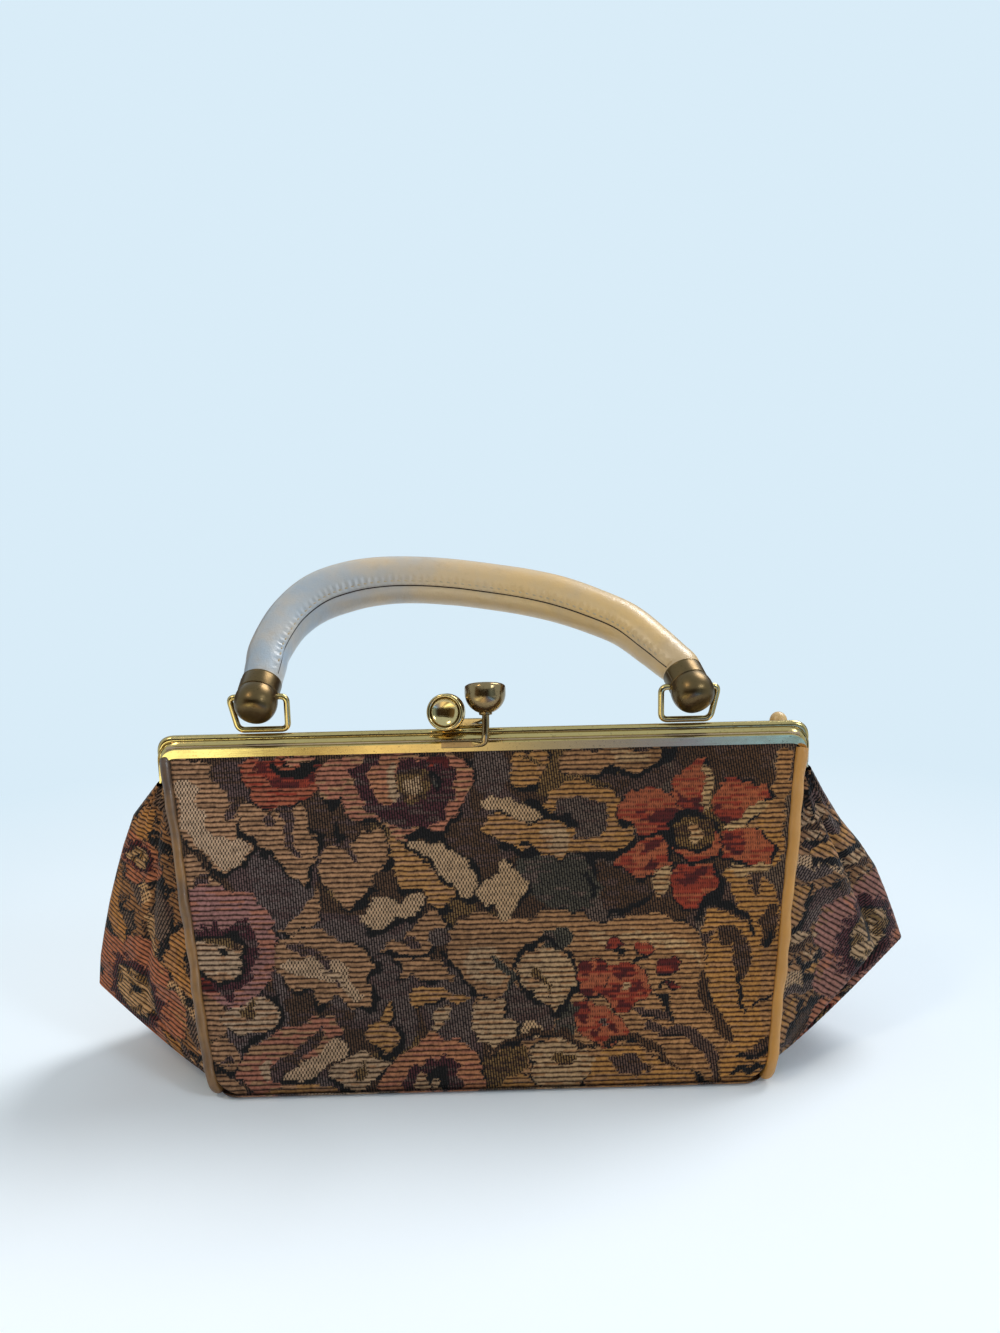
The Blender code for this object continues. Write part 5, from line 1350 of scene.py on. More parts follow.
# The folded ends: how far out and how high each one's tip is, and the ridge above it
TIP = {LEFT: (140.4 * MM, 24.5 * MM), RIGHT: (148.7 * MM, 34 * MM)}
TOP_REACH, END_TOP, END_FLOOR, END_HEM = 113.8 * MM, SEAT_Z - 8.5 * MM, 4.6 * MM, 4.5 * MM
RIDGE_AT = (0, 0.14, 0.28, 0.42, 0.56, 0.7, 0.85, 1)
RIDGE_OUT = {
    LEFT: (1, 0.95, 0.86, 0.76, 0.64, 0.51, 0.34, 0),
    RIGHT: (1, 0.91, 0.81, 0.70, 0.53, 0.32, 0.15, 0),
}


def end_seam(z):
    """Where a folded end is sewn behind the piping."""
    v = (z - FOLD_Z) / PANEL_HEIGHT
    x = half_length(v) + 0.6 * MM + PIPING_RADIUS - corner_cut(v, 7 * MM)
    y = plane_y(v) - PIPING_RADIUS - 0.3 * MM
    foot = share_of(1 - (z - END_FLOOR) / (7 * MM))
    return x, y - 2.4 * MM * foot**2


def end_ridge(end, z):
    """How far out the fold's ridge stands at a height."""
    reach, tip = TIP[end]
    x0, y0 = end_seam(np.array(END_FLOOR))
    t = share_of((z - tip) / (END_TOP - tip))
    above = TOP_REACH + (reach - TOP_REACH) * np.interp(t, RIDGE_AT, RIDGE_OUT[end])
    s = share_of((z - END_FLOOR) / (tip - END_FLOOR))
    below = x0 + 4 * MM + (reach - x0 - 4 * MM) * s**0.92
    x = np.where(z >= tip, above, below)
    y = np.where(z >= tip, 3 * MM + 1.6 * MM * t**3, y0 - 4 * MM + (3 * MM - y0 + 4 * MM) * s)
    return x, y


# Flowers on the ends: how far out and up, size, look and turn
END_BLOOMS = {
    LEFT: ((27, 27, 21, ROSE_LOOK, 0.4), (46, 12, 10, MAUVE_LOOK, 0.2), (16, 74, 9, SALMON_LOOK, 0.9)),
    RIGHT: ((33, 39, 23, MAUVE_LOOK, 0.7), (54, 30, 11, ROSE_LOOK, 0.2), (22, 12, 10, SALMON_LOOK, 0.3)),
}
# The left end's cloth is toned brighter, partly for the light there. Both ends' cloth lies on the slant,
# with a crease some millimetres deep.
END_TONE = {LEFT: (1.42, 1.28, 1.12), RIGHT: (1, 1, 1)}
END_SLANT = {LEFT: radians(28), RIGHT: radians(-34)}
END_CREASE = {LEFT: 1.3, RIGHT: 2.3}
# Rows and columns of an end's half, the flat share of its width, and a share of the panel's height
END_GRID, FLAT_SHARE, BEND_AT = (250, 90), 0.88, 0.3


def bend_with(obj):
    """Bakes the cloth's placing into its mesh."""
    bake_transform(obj)


class BAG_OT_ends(bpy.types.Operator):
    """V-folded tapestry ends, each in a front and a back half that meet at the ridge"""
    bl_idname = "bag.ends"
    bl_label = "Folded ends"

    def execute(self, context):
        cloth = context.scene.bag_cloth
        for end in (LEFT, RIGHT):
            for side in (FRONT, BACK):
                self.half(end, side, cloth.rib, cloth.relief)
        return {"FINISHED"}

    def half(self, end, side, rib, relief):
        z = np.linspace(END_FLOOR, END_TOP, END_GRID[0])[:, None]
        t = np.linspace(0, 1, END_GRID[1])[None]
        (ax, ay), (bx, by) = end_seam(z), end_ridge(end, z)
        s = share_of(t / FLAT_SHARE)
        x, y = ax + (bx - ax) * s, ay + (by - ay) * s
        round_off = share_of((t - FLAT_SHARE) / (1 - FLAT_SHARE))
        y = y * (1 - round_off)
        x = x + 0.9 * MM * np.sin(pi / 2 * round_off) - END_HEM * share_of(1 - t / 0.035)
        rise = (z - END_FLOOR) / (END_TOP - END_FLOOR)
        bow = 1.5 * MM * np.sin(pi * rise) * np.sin(pi * s)
        seed = 2 + (end == RIGHT) + 2 * (side == BACK)
        soft = value_noise(*np.broadcast_arrays(t * 46, z / MM), 15, seed)
        fold = 1.9 * MM * (soft - 0.5) * np.sin(pi * s) ** 0.7
        line = t - (0.80 - 0.30 * rise if end == RIGHT else 0.50 - 0.20 * rise)
        taper = END_CREASE[end] * MM * np.sin(pi * rise) ** 0.4
        crease = taper * (0.5 * np.exp(-(((line + 0.14) / 0.10) ** 2)) - np.exp(-((line / 0.05) ** 2)))
        gather = 0.6 * MM * np.sin(t * 34 + 3 * rise) * share_of((rise - 0.75) / 0.2) * np.sin(pi * s)
        width = np.hypot(bx - ax, by - ay)
        across = t * np.maximum(width, 12 * MM)
        turn = END_SLANT[end]
        along = across * cos(turn) + z * sin(turn)
        up = z * cos(turn) - across * sin(turn)
        ribs = relief * (np.abs(np.sin(pi * up / rib)) ** 0.6 - 0.6)
        away = bow + fold + crease + gather + ribs
        x = x + away * 0.75
        y = y + away * 0.65 * (1 - round_off)
        points = np.stack(np.broadcast_arrays(end * x, side * y, z), axis=-1)
        uv = np.stack(np.broadcast_arrays(along, up), axis=-1)
        cloth = weave_end(uv[..., 0] / MM, uv[..., 1] / MM, rib / MM, seed)
        for a, h, size, looks, spin in END_BLOOMS[end if side == FRONT else -end]:
            centre = (a * cos(turn) + h * sin(turn), h * cos(turn) - a * sin(turn))
            cloth.flower(centre, size, looks, spin)
        colour, kind = cloth.done(seed)
        face = colour * np.array(END_TONE[end]), kind
        name = f"tapestry_end_{END_WORD[end]}_{SIDE_WORD[side]}"
        obj = sheet(name, points, LOOKS["tapestry"], uv, *face, flip=(end * side) == 1)
        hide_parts(f"gusset_{END_WORD[end]}")
        bend_with(obj)
        edges = [np.concatenate(np.broadcast_arrays(px, py, z), axis=1) for px, py in ((ax, ay), (bx, by))]


WELT_GAP = 0.3 * MM
# Where a welt starts, as a share of the panel's height, and where it stops under the frame
WELT_FOOT, WELT_TOP = 0.045, {LEFT: 1.012, RIGHT: 0.996}
# The welt's foot as it turns under the base: inwards, under and down, from its tip up
WELT_TURN = (
    (2.3, 4.7, 1), (2.1, 3.6, 1), (1.8, 2.4, 0.95), (1.4, 1.3, 0.84), (0.8, 0.5, 0.6), (0.3, 0.1, 0.28),
)


class BAG_OT_piping(bpy.types.Operator):
    """Cream leather welts down the panel edges and under the base's ends"""
    bl_idname = "bag.piping"
    bl_label = "Piping"

    def execute(self, context):
        for side in (FRONT, BACK):
            for end in (LEFT, RIGHT):
                self.edge(side, end)
        for end in (LEFT, RIGHT):
            self.foot(end)
        self.tail()
        return {"FINISHED"}

    def tail(self):
        """The back right welt's end, turned up behind the frame, where it shows over the bead."""
        _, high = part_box("back_rail")
        rise = np.linspace(0, 1, 40)
        z = RAIL_TOP - 3.6 * MM + rise * 6.5 * MM
        y = high.y + 2.0 * MM - 1.6 * MM * rise**3
        line = np.stack([105.2 * MM - 1.2 * MM * rise**2, y, z], axis=-1)
        width = 3.1 * MM * np.sqrt(np.clip(1 - share_of((rise - 0.62) / 0.38) ** 2, 0.003, 1))
        obj = joined("welt_tail", [tube(line, width, 20, up=(1, 0, 0))], LOOKS["leather"])
        rest_on(obj, "back_frame", "leather")

    def edge(self, side, end):
        v = np.linspace(WELT_FOOT, WELT_TOP[end], 130)
        wobble = 0.25 * MM * np.sin(v * 19 + side + 2 * end) + 0.15 * MM * np.sin(v * 47)
        x = end * (half_length(v) + WELT_GAP + PIPING_RADIUS - corner_cut(v) + wobble * 0.6)
        line = panel_place(side, x, v, 0.5 * MM + wobble)
        drop = PIPING_RADIUS + WELT_GAP - line[0][2]
        turned = [line[0] + np.array([-end * a * MM, -side * b * MM, drop * c]) for a, b, c in WELT_TURN]
        line = smooth_line([*turned, *line[::3]], 150)
        share = np.linspace(0, 1, 150)
        thick = PIPING_RADIUS * (1 + 0.05 * np.sin(share * 60))
        if end == RIGHT:
            thick = thick * (1.04 + 0.2 * share)
        name = f"welt_{SIDE_WORD[side]}_{END_WORD[end]}"
        obj = joined(name, [tube(line, thick, 18, up=(1, 0, 0))], LOOKS["piping"])
        rest_on(obj, f"{SIDE_WORD[side]}_side", "leather", f"piping_{SIDE_WORD[side]}_{END_WORD[end]}")

    def foot(self, end):
        radius = PIPING_RADIUS * 0.96
        y = float(plane_y(WELT_FOOT)) - 3.6 * MM
        cut = float(corner_cut(np.array(WELT_FOOT)))
        x = end * (half_length(WELT_FOOT) + WELT_GAP + PIPING_RADIUS - cut - 2.2 * MM)
        line = smooth_line([(x, place, radius + WELT_GAP) for place in (-y, 0, y)], 60)
        obj = joined(f"welt_base_{END_WORD[end]}", [tube(line, radius, 16, up=(1, 0, 0))], LOOKS["piping"])
        rest_on(obj, "root", "leather", f"piping_base_{END_WORD[end]}")


# How far inside a panel's middle the lining and its pocket hang
LINING_IN, POCKET_IN = 3.0 * MM, 4.6 * MM


class BAG_OT_lining(bpy.types.Operator):
    """Satin lining, its pocket and the lining of the folded ends"""
    bl_idname = "bag.lining"
    bl_label = "Lining"

    def execute(self, context):
        for side in (FRONT, BACK):
            word = SIDE_WORD[side]
            self.wall(f"satin_{word}", side, -LINING_IN, 0.055, 0.985, None, f"lining_{word}")
        self.wall("satin_pocket", BACK, -POCKET_IN, 0.22, 0.68, 55 * MM, "pocket")
        low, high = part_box("lining_base")
        inset = Vector((3.5 * MM, 1.2 * MM, 0))
        low, high = low + inset, high - inset
        x, y = np.meshgrid(np.linspace(low.x, high.x, 60), np.linspace(low.y, high.y, 30))
        z = high.z - 0.2 * MM + 0.35 * MM * (value_noise(x / MM, y / MM, 18, 4) - 0.5)
        obj = sheet("satin_base", np.stack([x, y, z], axis=-1), LOOKS["lining"])
        self.thicken(obj)
        rest_on(obj, "root", "lining", "lining_base")
        for end in (LEFT, RIGHT):
            self.end_wall(end)
        return {"FINISHED"}

    def thicken(self, obj, amount=0.3 * MM):
        solid = obj.modifiers.new("Thickness", "SOLIDIFY")
        solid.thickness = amount
        solid.offset = 0

    def wall(self, name, side, out, low, high, half, node):
        v = np.linspace(low, high, 60)[:, None]
        u = np.linspace(-1, 1, 110)[None]
        edge = half if half else half_length(v) - 1.4 * MM - corner_cut(v, 5 * MM)
        x, v = np.broadcast_arrays(u * edge, v)
        crown = 3.4 * MM * np.maximum(1 - (x / half_length(v)) ** 2, 0) ** 0.6 * np.sin(pi * v) ** 0.8
        soft = 0.5 * MM * (value_noise(x / MM, v * PANEL_HEIGHT / MM, 17, 6) - 0.9)
        sag = 0.0
        if half:
            sag = -0.9 * MM * share_of((v - 0.6) / 0.08) * np.cos(pi * u / 2)
        points = panel_place(side, x, v, out + crown + soft + sag)
        obj = sheet(name, points, LOOKS["lining"], flip=side == FRONT)
        self.thicken(obj)
        rest_on(obj, f"{SIDE_WORD[side]}_side", "lining", node)

    def end_wall(self, end):
        low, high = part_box(f"lining_gusset_{END_WORD[end]}")
        for side in (FRONT, BACK):
            z = np.linspace(low.z + 0.4 * MM, high.z, 60)[:, None]
            t = np.linspace(0, 1, 24)[None]
            v = (z - FOLD_Z) / PANEL_HEIGHT
            share = np.minimum(1, z / HINGE_Z)
            x = BASE_HALF + 0.3 * MM + (105.2 * MM - BASE_HALF) * share
            y = (plane_y(v) - 5 * MM) * t
            push = 2.0 * MM * (1 - t**2) * np.sin(pi * (z - low.z) / (high.z - low.z))
            points = np.stack(np.broadcast_arrays(end * (x + push), side * y, z), axis=-1)
            name = f"satin_end_{END_WORD[end]}_{SIDE_WORD[side]}"
            obj = sheet(name, points, LOOKS["lining"], flip=(end * side) == -1)
            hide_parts(f"lining_gusset_{END_WORD[end]}")
            bend_with(obj)
            deep = plane_y(v) - 5 * MM
            wide = float(deep.max())
            share = float(deep.mean()) / wide


def channel_section(height, depth, wall, face):
    """The rail's section in millimetres, (depth, up): a folded channel, open below.

    The face side carries a pressed edge line at its top and foot.
    """
    h, d, w = height / 2, depth / 2, wall
    outer = [
        (d - 0.10, -h), (d + 0.12, 0.12 - h), (d + 0.16, 0.45 - h), (d - 0.02, 0.70 - h),
        (d - 0.16, -0.2 * h), (d - 0.10, h - 1.30), (d + 0.02, h - 1.02), (d + 0.22, h - 0.86),
        (d + 0.30, h - 0.55), (d + 0.20, h - 0.20), (d - 0.10, h), (d - 0.55, h - 0.05),
        (d - 0.90, h - 0.45), (d - 1.25, h - 1.15), (d - 2.20, h - 1.35), (0.3 - d, h - 1.35),
        (-d, h - 1.60), (-d, 0.1 - h),
    ]
    low = h - 1.35 - w
    inner = [(w - d, 0.1 - h), (w - d, low), (d - w - 0.2, low), (d - w - 0.2, 0.1 - h), (d - 0.6 * w, -h)]
    return np.array([(-face * across, up) for across, up in outer + inner]) * MM


# How far each rail and its legs reach to the ends, and the rails' middles from the bag's
RAIL_REACH, LEG_REACH = {FRONT: 113.3 * MM, BACK: 114.5 * MM}, {FRONT: 109.25 * MM, BACK: 110.55 * MM}
RAIL_MIDDLE, RAIL_CORNER = 2.825 * MM, 5.2 * MM
# The channel's depth and wall in millimetres, then the bead and the legs
RAIL_DEPTH, RAIL_WALL = 5.35, 0.7
BEAD_RADIUS, BEAD_Y, LEG_Y = 1.5 * MM, 1.65 * MM, 1.6 * MM


class BAG_OT_frame(bpy.types.Operator):
    """Front and back rails with rounded corners, tapering legs and hinge eyes, and the rivets"""
    bl_idname = "bag.frame"
    bl_label = "Frame"

    def execute(self, context):
        for side in (FRONT, BACK):
            self.half(side, RAIL_REACH[side])
        for end in (LEFT, RIGHT):
            self.rivet(end)
        return {"FINISHED"}

    def half(self, side, reach):
        word = SIDE_WORD[side]
        middle = side * RAIL_MIDDLE
        centre = (RAIL_BOTTOM + RAIL_TOP) / 2
        height = RAIL_TOP - RAIL_BOTTOM
        inset = height / 2
        foot_z = RAIL_BOTTOM - 9 * MM
        line = round_corners([
            (-(reach - 0.5 * MM), middle, foot_z), (-(reach - inset), middle, centre),
            (reach - inset, middle, centre), (reach - 0.5 * MM, middle, foot_z),
        ], RAIL_CORNER, 14)
        line = np.array([tuple(p) for p in line])
        section = channel_section(height / MM, RAIL_DEPTH, RAIL_WALL, side)
        sections = []
        for p in line:
            drop = share_of((centre - p[2]) / (centre - foot_z))
            narrow = 1 - 0.82 * drop**0.8
            slim = 1 - 0.5 * drop
            sections.append(section * (slim, narrow))
        pieces = [self.along(line, sections)]
        if side == BACK:
            x, y, top, foot = reach - BEAD_RADIUS, BEAD_Y, RAIL_TOP + 0.3 * MM, RAIL_BOTTOM - 9.5 * MM
            bead = round_corners([(-x, y, foot), (-x, y, top), (x, y, top), (x, y, foot)], 5 * MM, 14)
            radii = [BEAD_RADIUS * (1 - 0.55 * share_of((top - p.z) / (16 * MM))) for p in bead]
            pieces.append(tube(bead, radii, 16))
        for end in (LEFT, RIGHT):
            pieces += self.leg(side, end, reach, LEG_REACH[side])
        obj = joined(f"rail_{word}", pieces, LOOKS["frame"], radians(32))
        rest_on(obj, f"{word}_frame", "frame_brass", f"{word}_rail")

    def along(self, line, sections):
        """Sweeps channel sections along the rail, with their up side kept outwards."""
        tangent = tangents(line)
        out = np.stack([-tangent[:, 2], 0 * tangent[:, 0], tangent[:, 0]], axis=-1)
        depth = np.array([0.0, 1.0, 0.0])
        sections = np.asarray(sections)
        return capped(line[:, None] + depth * sections[..., :1] + out[:, None] * sections[..., 1:])

    def leg(self, side, end, reach, x):
        """A flat leg from under the rail's corner to the hinge, and its eye."""
        y = side * LEG_Y
        top = RAIL_BOTTOM - 4 * MM
        low = x - 2.1 * MM
        line = smooth_line([
            (end * (reach - 1.3 * MM), y, top), (end * (x + 0.9 * MM), y, RAIL_BOTTOM - 7.5 * MM),
            (end * (x - 0.3 * MM), y, RAIL_BOTTOM - 14 * MM),
            (end * (low + 0.5 * MM), y * 0.9, HINGE_Z + 8 * MM),
            (end * (low + 0.5 * MM), y * 0.5, HINGE_Z + 3 * MM),
        ], 40)
        half = np.array([1.3 * MM, 0.45 * MM])
        flat = np.array([(cos(a), sin(a)) for a in turns(12)]) * half
        strip = swept(line, np.sign(flat) * np.abs(flat) ** 0.8 * half**0.2, up=(1, 0, 0))
        bore = 2.7 if side == FRONT else 1.5
        eye = lathe(
            [(bore, 0.1), (bore + 0.2, 0), (4.8, 0), (5, 0.15), (5, 0.85), (4.8, 1), (bore + 0.2, 1),
             (bore, 0.9), (bore, 0.1)],
            Matrix.Translation((end * low, 0, HINGE_Z)) @ Matrix.Rotation(end * pi / 2, 4, "Y"), 40,
        )
        return [strip, eye]

    def rivet(self, end):
        low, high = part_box(f"hinge_rivet_{END_WORD[end]}")
        inner, outer = sorted((abs(low.x) / MM, abs(high.x) / MM))
        profile = [
            (0, inner), (3.2, inner), (4.3, inner + 0.25), (4.65, inner + 0.6), (4.6, inner + 0.8),
            (1.2, inner + 0.8), (1.2, outer - 0.8), (2.35, outer - 0.8), (2.3, outer - 0.4),
            (1.5, outer - 0.05), (0, outer),
        ]
        turn = Matrix.Translation((0, 0, HINGE_Z)) @ Matrix.Rotation(end * pi / 2, 4, "Y")
        obj = joined(f"rivet_{END_WORD[end]}", [lathe(profile, turn, 40)], LOOKS["cap"])
        rest_on(obj, "back_frame", "cap_brass", f"hinge_rivet_{END_WORD[end]}")


CUP_DEPTH = 10.6 * MM
CLASP_X, CLASP_SPREAD = -5.7 * MM, 13.1 * MM
POST_RADIUS = 1.3 * MM
# Radii of the cups in millimetres
FRONT_CUP, BACK_CUP = 7.1, 6.4


def cup_profile(radius, dished):
    """A clasp cup in millimetres, from its dish over the rolled lip and down round the bowl."""
    top = CUP_DEPTH / MM / 2
    shoulder = radius - top
    a = np.linspace(0, pi / 2, 12)
    if dished:
        rim = radius - 1.25
        dish = [(rim * sin(t), top - 0.55 - 2.3 * cos(t)) for t in a]
        roll = [
            (rim + 0.05, top - 0.30), (rim + 0.30, top - 0.02), (rim + 0.68, top + 0.08),
            (rim + 1.02, top - 0.08), (radius - 0.02, top - 0.45), (radius - 0.10, top - 0.95),
            (radius - 0.22, top - 1.15), (radius - 0.06, top - 1.4),
        ]
    else:
        dish = [(radius * 0.86 * sin(t), top - 0.55 + 0.55 * cos(t)) for t in a]
        roll = [(radius * 0.93, top - 0.75), (radius * 0.985, top - 1.15), (radius, top - 1.8)]
    bowl = [(radius * cos(t), shoulder - (shoulder + top) * sin(t)) for t in a[:-1]]
    return dish + roll + bowl + [(0, -top)]


def squared(angle, power):
    """The sine and cosine of an angle, pushed out towards a square as the power falls."""
    s, c = sin(angle), cos(angle)
    return np.sign(s) * abs(s) ** power, np.sign(c) * abs(c) ** power


class BAG_OT_clasp(bpy.types.Operator):
    """Kiss-lock clasp: two turned cups on bent posts, the front strip and the back bracket"""
    bl_idname = "bag.clasp"
    bl_label = "Clasp"

    def execute(self, context):
        front_x, back_x = CLASP_X + CLASP_SPREAD / 2, CLASP_X - CLASP_SPREAD / 2
        front = Vector((front_x, -3.5 * MM, RAIL_TOP + 13.6 * MM))
        back = Vector((back_x, -2.5 * MM, RAIL_TOP + 8.9 * MM))
        lean = Matrix.Rotation(radians(-20), 4, "X")
        axis = lean.to_3x3() @ Vector((0, 0, 1))
        place = Matrix.Translation(front) @ lean
        cup = joined("cup_front", [lathe(cup_profile(FRONT_CUP, False), place, 72)], LOOKS["cup"])
        rest_on(cup, "front_frame", "clasp_brass", "clasp_front_cup")
        strip_y, strip_z = -6.5 * MM, RAIL_TOP - 1.6 * MM
        end = front - axis * (CUP_DEPTH / 2 - 1.2 * MM)
        line = smooth_line(round_corners([
            end, end - axis * 4.4 * MM,
            (front_x - 0.3 * MM, strip_y - 0.5 * MM, RAIL_TOP + 1.2 * MM),
            (front_x - 0.6 * MM, strip_y - 0.2 * MM, strip_z + 0.2 * MM),
            (front_x - 4.6 * MM, strip_y, strip_z), (front_x - 15.5 * MM, strip_y, strip_z),
        ], 2.8 * MM, 8), 120)
        sections = []
        for share in np.linspace(0, 1, 120):
            flat = share_of((share - 0.42) / 0.16)
            wide, thick = 1.25 + 0.1 * flat, 1.25 * (1 - flat) + 0.55 * flat
            power = 1 - 0.55 * flat
            around = [squared(a, power) for a in turns(24)]
            sections.append([(wide * MM * c, thick * MM * s) for s, c in around])
        strip = swept(line, sections)
        collar = lathe(
            [(1.3, -0.2), (2.2, 0.0), (2.35, 0.5), (1.9, 1.1), (0, 1.2)],
            Matrix.Translation(front - axis * (CUP_DEPTH / 2 + 0.35 * MM)) @ lean, 32,
        )
        obj = joined("clasp_strip", [strip, collar], LOOKS["cup"], radians(40))
        rest_on(obj, "front_frame", "clasp_brass", "clasp_front_strip")

        turn = Matrix.Rotation(radians(-10), 4, "Z") @ Matrix.Rotation(radians(78), 4, "X")
        axis = turn.to_3x3() @ Vector((0, 0, 1))
        place = Matrix.Translation(back) @ turn
        cup = joined("cup_back", [lathe(cup_profile(BACK_CUP, True), place, 72)], LOOKS["clasp"])
        rest_on(cup, "back_frame", "clasp_brass", "clasp_back_cup")
        _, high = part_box("clasp_back_bracket")
        end = back - axis * (CUP_DEPTH / 2 - 1.2 * MM)
        foot = Vector((CLASP_X - 3.5 * MM, high.y - 1.3 * MM, RAIL_TOP + 1.6 * MM))
        knee = (foot.x, foot.y, back.z - 2.6 * MM)
        line = round_corners([foot, knee, end - axis * 3 * MM, end], 3 * MM, 10)
        post = tube(line, POST_RADIUS, 18, up=(1, 0.1, 0))
        obj = joined("clasp_bracket", [post, *self.plate()], LOOKS["clasp"], radians(30))
        rest_on(obj, "back_frame", "clasp_brass", "clasp_back_bracket")
        return {"FINISHED"}

    def plate(self):
        """The bracket's small rounded plate with two dome-headed pins."""
        middle = Vector((CLASP_X, 3.95 * MM, RAIL_TOP + 2.55 * MM))
        half_x, half_z = 7 * MM, 2.15 * MM
        edge = [squared(a, 0.35) for a in turns(48)]
        points = []
        for depth, size in (
            (-0.5, 0), (-0.5, 0.93), (-0.42, 0.985), (-0.2, 1), (0.4, 1), (0.5, 0.97), (0.5, 0)
        ):
            shrink = min(half_x, half_z) * (1 - size)
            kept = 1 if size else 0
            for up, across in edge:
                x, z = half_x * across - np.sign(across) * shrink, half_z * up - np.sign(up) * shrink
                points.append(middle + Vector((kept * x, depth * MM, kept * z)))
        made = [(points, grid_faces(7, 48, around=True))]
        pin = [(0.8 * cos(a), 0.5 + 0.32 * sin(a)) for a in np.linspace(0, pi / 2, 6)[:-1]]
        for share in (-0.78, 0.78):
            place = Matrix.Translation(middle + Vector((share * half_x, 0, 0)))
            turn = Matrix.Rotation(-pi / 2, 4, "X")
            made.append(lathe([(0.8, 0.2), *pin, (0, 0.82)], place @ turn, 20))
        return made


LOOP_SPAN, LOOP_SHIFT, LOOP_DROP, WIRE_RADIUS = 150.4 * MM, -3 * MM, 11.6 * MM, 1.1 * MM


def loop_centre(end):
    return Vector((LOOP_SHIFT + end * LOOP_SPAN / 2, PIVOT.y, PIVOT.z))


class BAG_OT_loops(bpy.types.Operator):
    """Bent wire loops that carry the handle"""
    bl_idname = "bag.loops"
    bl_label = "Wire loops"

    def execute(self, context):
        for end in (LEFT, RIGHT):
            centre = loop_centre(end)
            across = [
                (-4.4, 0), (-10, 0.1 * MM), (-10, -LOOP_DROP), (7.2, -LOOP_DROP), (10, 0.1 * MM), (4.4, 0),
            ]
            line = [(centre.x + end * a * MM, centre.y, centre.z + b) for a, b in across]
            wire = tube(round_corners(line, 2.4 * MM, 10), WIRE_RADIUS)
            obj = joined(f"loop_{END_WORD[end]}", [wire], LOOKS["frame"])
            rest_on(obj, "back_frame", "frame_brass", f"handle_loop_{END_WORD[end]}")
        return {"FINISHED"}


HANDLE_LEAN, HANDLE_RISE = radians(55), 57.6 * MM
# The grip's middle line, as shares of half the loops' span and of its rise
HANDLE_ACROSS = (
    -1.0, -0.995, -0.989, -0.98, -0.968, -0.899, -0.778, -0.618, -0.445, -0.267,
    -0.089, 0.086, 0.261, 0.43, 0.589, 0.739, 0.859, 0.932, 0.968, 0.977, 0.9884, 1.0,
)
HANDLE_UP = (
    0.0, 0.057, 0.1146, 0.243, 0.4, 0.649, 0.845, 0.953, 0.998, 0.998,
    0.969, 0.92, 0.861, 0.78, 0.67, 0.536, 0.347, 0.22, 0.16, 0.1146, 0.057, 0.0,
)


def handle_line(count):
    """The grip's middle line, from the left loop over to the right one."""
    up = Vector((0, sin(HANDLE_LEAN), cos(HANDLE_LEAN)))
    base = Vector((LOOP_SHIFT, PIVOT.y, PIVOT.z))
    across = [Vector((a * LOOP_SPAN / 2, 0, 0)) for a in HANDLE_ACROSS]
    return smooth_line([base + a + up * (u * HANDLE_RISE) for a, u in zip(across, HANDLE_UP)], count)


GRIP_SIDES, GRIP_RADIUS, GRIP_TRIM = 96, 9.0 * MM, 3.6 * MM
# The caps in millimetres: the dome's reach, the neck's radius, the collar's height and the dome's start
CAP_DOME, CAP_NECK, CAP_TOP, CAP_DROP = 7.5, 7.1, 6.9, 2.4


